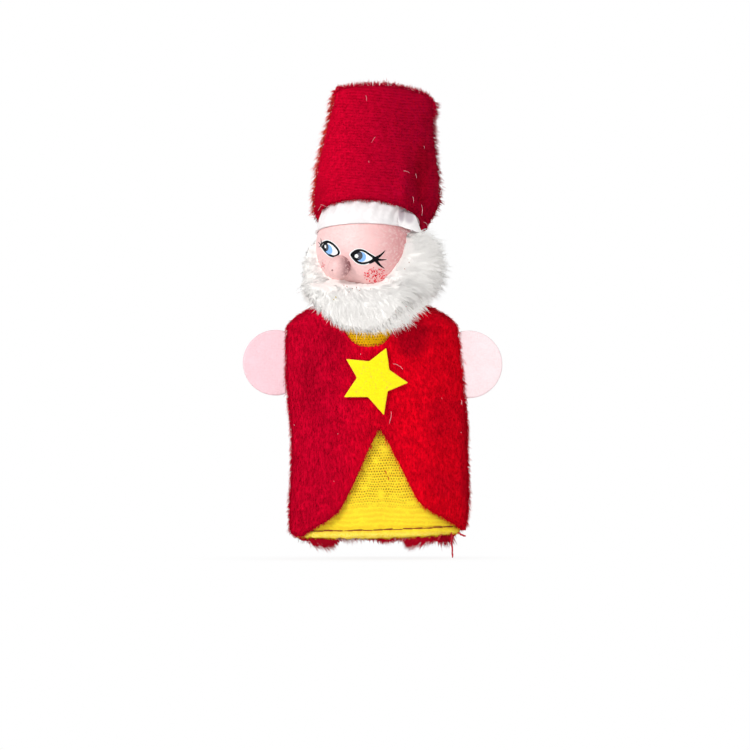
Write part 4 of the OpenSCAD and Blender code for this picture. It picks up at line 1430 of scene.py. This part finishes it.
class PUPPET_OT_sew_coat(bpy.types.Operator):
    """Sews the red plush coat: front with its scoop and cutaway, and back"""
    bl_idname = "puppet.sew_coat"
    bl_label = "Sew coat"

    def execute(self, context):
        cloth = context.scene.puppet_cloth
        reds = cloth.coat, cloth.coat_lit_side
        finish = plush_finish("Coat pile", *reds, depth=0.94, folds=COAT_FOLDS, streak_side=reds[1])
        backing = plush_finish("Coat plush", *reds, 0.0, 0.6, COAT_FOLDS, False, reds[1])
        panels = ((-1, "coat_front", cutaway_z, neckline_z),
                  (1, "coat_back", coat_back_hem_z, collar_z))
        across = np.linspace(-1.5, 1.5, 200)
        whole = (COLLAR_TOP - coat_back_hem_z(across)).mean()
        for side, node, low, high in panels:
            share = (high(across) - low(across)).mean() / whole
            made, outer = robe_sheet(node + "_cloth", side, COAT_OUT - 0.3, COAT_IN, low, high, backing,
                                     "coat_plush", seed=41 + side)
            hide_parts(node)
            PANEL_WIDTH * PANEL_LENGTH * share * MM ** 2
            grow_pile(node + "_pile", outer, cloth.coat_strands, cloth.coat_pile, 0.16, downward,
                      finish, "robe", "coat_plush", 51 + side, 0.2)
        left = np.linspace(-65, COLLAR_TOP - 1.5, 90)
        right = np.linspace(-63, COLLAR_TOP - 1.5, 90)
        inside = np.linspace(-1.4, 1.4, 120)
        top = np.linspace(-1.5, 1.5, 90)
        for name, angle, z, sunk, ways, reach, amount in (
                ("coat_left_pile", -1.52, left, 0.4, (-0.8, -0.25, -0.8), 1.2, 2200),
                ("coat_right_pile", 1.52, right, 0.4, (0.8, -0.25, -0.8), 1.2, 2200),
                ("coat_cutaway_pile", inside, cutaway_z(inside) + 0.2, 0.7, (0, -0.3, -0.9), 1.3, 1500),
                ("coat_neckline_pile", top, neckline_z(top) - 0.2, 0.7, (0, -0.4, 0.8), 0.9, 900)):
            line = robe_point(-1, angle, z, COAT_OUT - sunk)
            fringe(name, line, ways, reach, amount, 6, finish, "robe", "coat_plush", 62)
        self.fray(cloth)
        return {"FINISHED"}

    def fray(self, cloth):
        """Cut edge of the back panel: dark red tufts to both sides, pale backing threads between."""
        angle = np.arcsin(np.linspace(-0.93, 0.93, 120))
        line = robe_point(-1, angle, tunic_hem_z(angle) + 0.3, -0.2)
        x = line[:, 0]
        dark = plush_finish("Frayed red", cloth.fray, cloth.fray)
        pale = plush_finish("Frayed backing", cloth.backing, cloth.backing)
        red_reach = 0.6 + 4.6 * (swell(x, -13.5, 4.8) + swell(x, 16, 3.6) + 0.8 * swell(x, 24, 4)
                                 + 0.35 * swell(x, 6, 4))
        pale_reach = 0.3 + 1.8 * (swell(x, -4, 5) + 0.7 * swell(x, 11, 4))
        lean = 0.9 * swell(x, -12.5, 6) - 0.7 * swell(x, 16, 3.6) + 0.3 * swell(x, 26, 4)
        ways = points_at(lean, -0.15, -1)
        for name, reach, amount, every, thick, finish, seed in (
                ("coat_fray_red", red_reach, 2600, 40, 0.26, dark, 63),
                ("coat_fray_pale", pale_reach, 1400, 14, 0.16, pale, 64)):
            made = fringe(name, line, ways, reach, amount, every, finish, "robe", "coat_plush", seed,
                          thick=thick)
            made.visible_shadow = False
        rng = np.random.default_rng(65)
        tubes = []
        step = np.linspace(0, 1, 26)[:, None]
        for start, way, long in LOOSE_THREADS:
            bend = np.cumsum(rng.normal(size=(26, 3)) * 0.05, 0)
            tubes.append(tube(np.array(start) + np.array(way) * long * step + bend, LOOSE_THREAD_T, 6))
        make_piece("hem_loose_thread", *join_tubes(tubes), thread_finish("Loose thread", cloth.fray),
                   "robe", "red_thread")


# Small parts


def felt_slab(name, outline, bend, thick, finish, body, slot, rings=14):
    """A felt piece cut to an outline of x and z, laid on a surface; bend gives its point at a depth."""
    middle = outline.mean(0)
    steps = (np.arange(1, rings + 1) / rings)[:, None, None]
    shape = middle + (lerp(middle, outline[None], steps) - middle) * (1 - 0.02 * steps ** 8)
    points = []
    for depth in (thick / 2, -thick / 2):
        points.append(bend(middle[0], middle[1], depth)[None])
        points.append(bend(shape[..., 0], shape[..., 1], depth).reshape(-1, 3))
    points = np.concatenate(points)
    amount = len(outline)
    ring = np.arange(amount)
    after = (ring + 1) % amount
    half = 1 + rings * amount
    tris = [np.stack([0 * ring, 1 + ring, 1 + after], 1),
            np.stack([half + 0 * ring, half + 1 + after, half + 1 + ring], 1)]
    quads = []
    for k in range(rings - 1):
        a, b = 1 + k * amount, 1 + (k + 1) * amount
        quads.append(np.stack([a + ring, b + ring, b + after, a + after], 1))
        quads.append(half + np.stack([a + ring, a + after, b + after, b + ring], 1))
    last = 1 + (rings - 1) * amount
    quads.append(np.stack([last + ring, half + last + ring, half + last + after, last + after], 1))
    rough = cloudy(points, 1.4, 6, True) * 0.06 + cloudy(points, 0.5, 8, True) * 0.03
    return make_piece(name, points + rough, tris + [np.concatenate(quads)], finish, body, slot)


class PUPPET_OT_cut_star(bpy.types.Operator):
    """Cuts the yellow felt star"""
    bl_idname = "puppet.cut_star"
    bl_label = "Cut star"

    def execute(self, context):
        cloth = context.scene.puppet_cloth
        corners = from_photo(STAR_CORNERS)[::-1]
        edge = (np.arange(12) / 12)[None, :, None]
        outline = lerp(corners[:, None], np.roll(corners, -1, 0)[:, None], edge).reshape(-1, 2)
        back_y = STAR_BEND_R - tunnel_d(STAR_Z) - COAT_OUT - SEAM_HALF - STAR_GAP

        def bend(x, z, depth):
            """The star is bent round the coat."""
            reach = STAR_BEND_R + STAR_T / 2 + depth
            return points_at(x, back_y - np.sqrt(reach ** 2 - (x - robe_x(STAR_Z)) ** 2), z)

        finish = felt_finish("Yellow felt", cloth.star, 0.86, 0.8)
        made = felt_slab("star_felt", outline, bend, STAR_T, finish, "robe", "yellow_felt")
        soften(made)
        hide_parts("star")
        return {"FINISHED"}


class PUPPET_OT_cut_hands(bpy.types.Operator):
    """Cuts the two pink felt hands"""
    bl_idname = "puppet.cut_hands"
    bl_label = "Cut hands"

    def execute(self, context):
        cloth = context.scene.puppet_cloth
        for name, hand, z, radius in HANDS:
            finish = felt_finish(name.replace("_", " ").capitalize() + " felt", getattr(cloth, name), 0.9)
            seam, tip = (corner[0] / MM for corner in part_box(name)[::hand])
            angle = np.linspace(0, 2 * math.pi, 96, endpoint=False)
            outline = radius * np.stack([np.cos(angle), np.sin(angle)], 1) + [tip - hand * radius, z]
            edge_x = seam + hand * 0.1
            outline[:, 0] = hand * np.maximum(hand * outline[:, 0], hand * edge_x)

            def bend(x, z, depth):
                """The felt is flat at the seam and curls a little away from it."""
                curl = 0.25 * np.sin((z + 16) * 0.16) * ease(abs(x - edge_x) / 6)
                return points_at(x, curl - depth, z)

            made = felt_slab(name + "_felt", outline, bend, HAND_T, finish, name, "pink_felt")
            soften(made)
            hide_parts(name)
            width = abs(tip - seam) * MM
            width * 2 * radius * MM * HAND_FILL
        return {"FINISHED"}


def tube(path, thick, sides=8):
    """Points and faces of a round thread along a path, with rounded ends."""
    path = np.asarray(path, float)
    way = unit(np.gradient(path, axis=0))
    side = unit(np.cross(way, np.array([0.13, 0.3, 0.95])))
    lift = np.cross(side, way)
    along_path = np.linspace(0, 1, len(path))
    radius = thick / 2 * np.minimum(1, 8 * np.minimum(along_path, 1 - along_path) + 0.35) ** 0.6
    angle = np.arange(sides) * 2 * math.pi / sides
    ring = (side[:, None] * np.cos(angle)[None, :, None] + lift[:, None] * np.sin(angle)[None, :, None])
    points = path[:, None] + radius[:, None, None] * ring
    rows = len(path)
    at = np.arange(rows * sides).reshape(rows, sides)
    turned = np.roll(at, -1, 1)
    quads = np.stack([at[:-1].ravel(), turned[:-1].ravel(), turned[1:].ravel(), at[1:].ravel()], 1)
    points = np.concatenate([points.reshape(-1, 3), path[:1], path[-1:]])
    caps = np.concatenate([
        np.stack([turned[0], at[0], np.full(sides, rows * sides)], 1),
        np.stack([at[-1], turned[-1], np.full(sides, rows * sides + 1)], 1)])
    return points, quads, caps


def join_tubes(tubes):
    """Several threads as one set of points and faces."""
    points, quads, caps, total = [], [], [], 0
    for p, q, c in tubes:
        points.append(p)
        quads.append(q + total)
        caps.append(c + total)
        total += len(p)
    return np.concatenate(points), [np.concatenate(quads), np.concatenate(caps)]


class PUPPET_OT_stitch_hem(bpy.types.Operator):
    """Sews the brown hem stitches and the red side seams"""
    bl_idname = "puppet.stitch_hem"
    bl_label = "Stitch hem and seams"

    def execute(self, context):
        cloth = context.scene.puppet_cloth
        brown = thread_finish("Brown thread", cloth.stitch)
        for side, node in ((-1, "hem_stitches_front"), (1, "hem_stitches_back")):
            tubes = []
            for k in range(-7, 8):
                half = np.linspace(-0.5, 0.5, 9)
                x = k * STITCH_PITCH + half * STITCH_LEN
                across = x / (robe_w(STITCH_Z) - COAT_OUT + KNIT_T)
                dip = 0.16 * np.cos(math.pi * half) - 0.08
                wander = 0.12 * math.sin(k * 2.3) + 0.16 * half * math.sin(k * 1.7)
                path = robe_point(side, np.arcsin(across), stitch_line_z(across) + wander, KNIT_T + dip)
                tubes.append(tube(path, 0.42))
            made = make_piece(node + "_thread", *join_tubes(tubes), brown, "robe", "brown_thread")
            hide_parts(node)
        seam = shade(cloth.coat, 0.85)
        red = plush_finish("Red seam cloth", seam, seam, strands=False)
        for hand, node in ((-1, "side_seam_left"), (1, "side_seam_right")):
            z = np.linspace(-TUNIC_LEN + 2, -1.5, 90)
            step = np.linspace(0, 1, 6)[:, None]
            reach = lerp(0.0, COAT_OUT - 0.15, step) if hand > 0 else lerp(COAT_OUT - 0.15, 0.0, step)
            x = robe_x(z)[None] + hand * (robe_w(z)[None] - COAT_OUT + reach)
            wave = 0.08 * np.sin(z * 2.6)
            front, back = (points_at(x, wave + off, z).transpose(1, 0, 2) for off in (-0.25, 0.25))
            made = make_piece(node + "_cloth", *sheet_mesh(front, back), red, "robe", "red_thread")
            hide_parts(node)
        return {"FINISHED"}


class PUPPET_OT_tie_neck(bpy.types.Operator):
    """Makes the hidden neck: knit tube, ties and gathering thread"""
    bl_idname = "puppet.tie_neck"
    bl_label = "Tie neck"

    def execute(self, context):
        cloth = context.scene.puppet_cloth
        radius, height = np.array(NECK_PROFILE).T[:, :, None]
        turn = np.linspace(0, 2 * math.pi, 144, endpoint=False)

        def layer(out):
            """The gathered knit round the neck, so far out."""
            reach = radius + out + 0.08 * np.sin(30 * turn)
            return points_at(reach * np.cos(turn), reach * np.sin(turn), height)[::-1]

        made = make_piece("tunic_neck_cloth", *sheet_mesh(layer(0), layer(-NECK_T), wrap=True),
                          knit_finish("Neck knit", cloth.knit), "neck", "yellow_knit")
        soften(made)
        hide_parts("tunic_neck")
        for node, rgb in (("neck_tie", srgb(235, 226, 208)), ("gathering_thread", srgb(232, 186, 40)),
                          ("hat_top_stitches", srgb(196, 0, 40))):
            repaint(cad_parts[node].data, thread_finish(node.replace("_", " ").capitalize(), rgb))
        return {"FINISHED"}


def over_cloth(cloth, pixels, lift):
    """A place in the photograph, on the front of a cloth piece and lifted off it."""
    x, z = from_photo(pixels)
    points = mesh_points(cloth.data)[0]
    near = points[np.hypot(points[:, 0] - x, points[:, 2] - z) < 1.6]
    return np.array([x, near[:, 1].min() - lift, z])


class PUPPET_OT_add_lint(bpy.types.Operator):
    """Adds the loose hairs and specks that cling to the plush, the knit and the fur"""
    bl_idname = "puppet.add_lint"
    bl_label = "Add lint"

    def execute(self, context):
        white = thread_finish("White lint", srgb(250, 186, 192))
        orange = thread_finish("Orange lint", srgb(204, 84, 10))
        brown = thread_finish("Brown lint", srgb(176, 104, 78))
        straw = thread_finish("Straw lint", srgb(214, 190, 96))
        for name, cloth, marks, lift, thick, finish, body, slot in (
                ("hat_lint", "hat_cloth", HAT_LINT, 1.1, 0.09, white, "head", "hat_plush"),
                ("coat_lint", "coat_front_cloth", COAT_LINT, 1.3, 0.11, white, "robe", "coat_plush"),
                ("knit_lint", "tunic_front_cloth", KNIT_LINT, 0.2, 0.3, orange, "robe", "yellow_knit"),
                ("fur_lint", "beard_cloth", FUR_LINT, 1.6, 0.2, brown, "head", "white_fur"),
                ("fur_straws", "beard_cloth", FUR_STRAWS, 2.2, 0.3, straw, "head", "white_fur")):
            below = bpy.data.objects[cloth]
            step = np.linspace(0, 1, 9)[:, None]
            tubes = []
            for mark in marks:
                start, end = over_cloth(below, mark[:2], lift), over_cloth(below, mark[2:], lift)
                bow = np.sin(math.pi * step) * 0.12 * np.linalg.norm(end - start)
                tubes.append(tube(lerp(start, end, step) + bow * np.array([0.6, 0, 0.8]), thick, 6))
            made = make_piece(name, *join_tubes(tubes), finish, body, slot)
            made.visible_shadow = False
        return {"FINISHED"}


# Stage


def floor_finish(rgb):
    """Pale floor that keeps a soft shadow near the puppet and is plain white further off."""
    finish = Finish("Pale floor")
    length_of = finish.node("ShaderNodeVectorMath", {"operation": "LENGTH"}, {0: finish.place()})
    far = length_of.part("Value").clear(0.02, 0.06)
    plain = finish.node("ShaderNodeBsdfDiffuse", None, {"Color": rgb})
    white = finish.node("ShaderNodeEmission", None, {"Color": (1, 1, 1), "Strength": 1.0})
    either = finish.node("ShaderNodeMixShader", None, {
        0: finish.looked_at() * (far * 0.15 + 0.85), 1: plain, 2: white})
    finish.node("ShaderNodeOutputMaterial", None, {"Surface": either})
    return finish.made


def studio_light():
    """Soft light all round, which looks plain white itself."""
    light = Finish("Studio", world=True)
    soft = light.node("ShaderNodeBackground", None, {"Color": (1, 1, 1), "Strength": LIGHT_ALL_ROUND})
    white = light.node("ShaderNodeBackground", None, {"Color": (1, 1, 1), "Strength": 1.0})
    either = light.node("ShaderNodeMixShader", None, {0: light.looked_at(), 1: soft, 2: white})
    light.node("ShaderNodeOutputWorld", None, {"Surface": either})
    return light.made


class PUPPET_OT_set_stage(bpy.types.Operator):
    """Sets the pale floor, the soft lamps and the camera"""
    bl_idname = "puppet.set_stage"
    bl_label = "Set stage"

    def execute(self, context):
        scene = context.scene
        stage = scene.puppet_stage
        middle = Vector((PHOTO_X * MM, 0, PHOTO_Z * MM))
        mesh = bpy.data.meshes.new("floor")
        half = FLOOR_HALF_W
        mesh.from_pydata([(-half, -half, 0), (half, -half, 0), (half, half, 0), (-half, half, 0)],
                         [], [(0, 1, 2, 3)])
        mesh.materials.append(floor_finish(stage.backdrop))
        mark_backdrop(new_object("floor", mesh, (0, 0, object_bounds()[0][2] - stage.floor_drop)))
        scene.world = studio_light()
        for name, place, size, power in LAMPS:
            lamp = bpy.data.lights.new(name, "AREA")
            lamp.shape = "DISK"
            lamp.size = size
            lamp.energy = power
            holder = new_object(name, lamp, place)
            holder.rotation_euler = (middle - holder.location).to_track_quat("-Z", "Y").to_euler()

        lens = bpy.data.cameras.new("Camera")
        lens.sensor_width = SENSOR_WIDTH
        lens.lens = SENSOR_WIDTH * stage.distance / (PHOTO_WIDTH * MM)
        lens.clip_start = 0.01
        camera = new_object("Camera", lens, middle - Vector((0, stage.distance, 0)))
        camera.rotation_euler = (math.pi / 2, 0, 0)
        scene.camera = camera
        scene.view_settings.view_transform = "Standard"
        return {"FINISHED"}


OPERATORS = (PUPPET_OT_paint_head, PUPPET_OT_paint_face, PUPPET_OT_sew_band, PUPPET_OT_grow_beard,
             PUPPET_OT_grow_back_hair, PUPPET_OT_sew_hat, PUPPET_OT_knit_tunic, PUPPET_OT_sew_coat,
             PUPPET_OT_cut_star, PUPPET_OT_cut_hands, PUPPET_OT_stitch_hem, PUPPET_OT_tie_neck,
             PUPPET_OT_add_lint, PUPPET_OT_set_stage)
GROUPS = {"puppet_paint": PuppetPaint, "puppet_cloth": PuppetCloth, "puppet_fur": PuppetFur,
          "puppet_stage": PuppetStage}


class PUPPET_PT_panel(bpy.types.Panel):
    """Sizes and colours of the puppet, and a button for each part of its making"""
    bl_idname = "PUPPET_PT_panel"
    bl_label = "Finger puppet"
    bl_space_type = "VIEW_3D"
    bl_region_type = "UI"
    bl_category = "Puppet"

    def draw(self, context):
        for name, group in GROUPS.items():
            box = self.layout.box()
            for prop in group.__annotations__:
                box.prop(getattr(context.scene, name), prop)
        for operator in OPERATORS:
            self.layout.operator(operator.bl_idname)


def register():
    for group in GROUPS.values():
        bpy.utils.register_class(group)
    for name, group in GROUPS.items():
        setattr(bpy.types.Scene, name, bpy.props.PointerProperty(type=group))
    for operator in OPERATORS:
        bpy.utils.register_class(operator)
    bpy.utils.register_class(PUPPET_PT_panel)


def unregister():
    bpy.utils.unregister_class(PUPPET_PT_panel)
    for operator in reversed(OPERATORS):
        bpy.utils.unregister_class(operator)
    for name in GROUPS:
        delattr(bpy.types.Scene, name)
    for group in reversed(GROUPS.values()):
        bpy.utils.unregister_class(group)


def main():
    register()
    for operator in OPERATORS:
        family, action = operator.bl_idname.split(".")
        getattr(getattr(bpy.ops, family), action)()


if __name__ == "__main__":
    main()
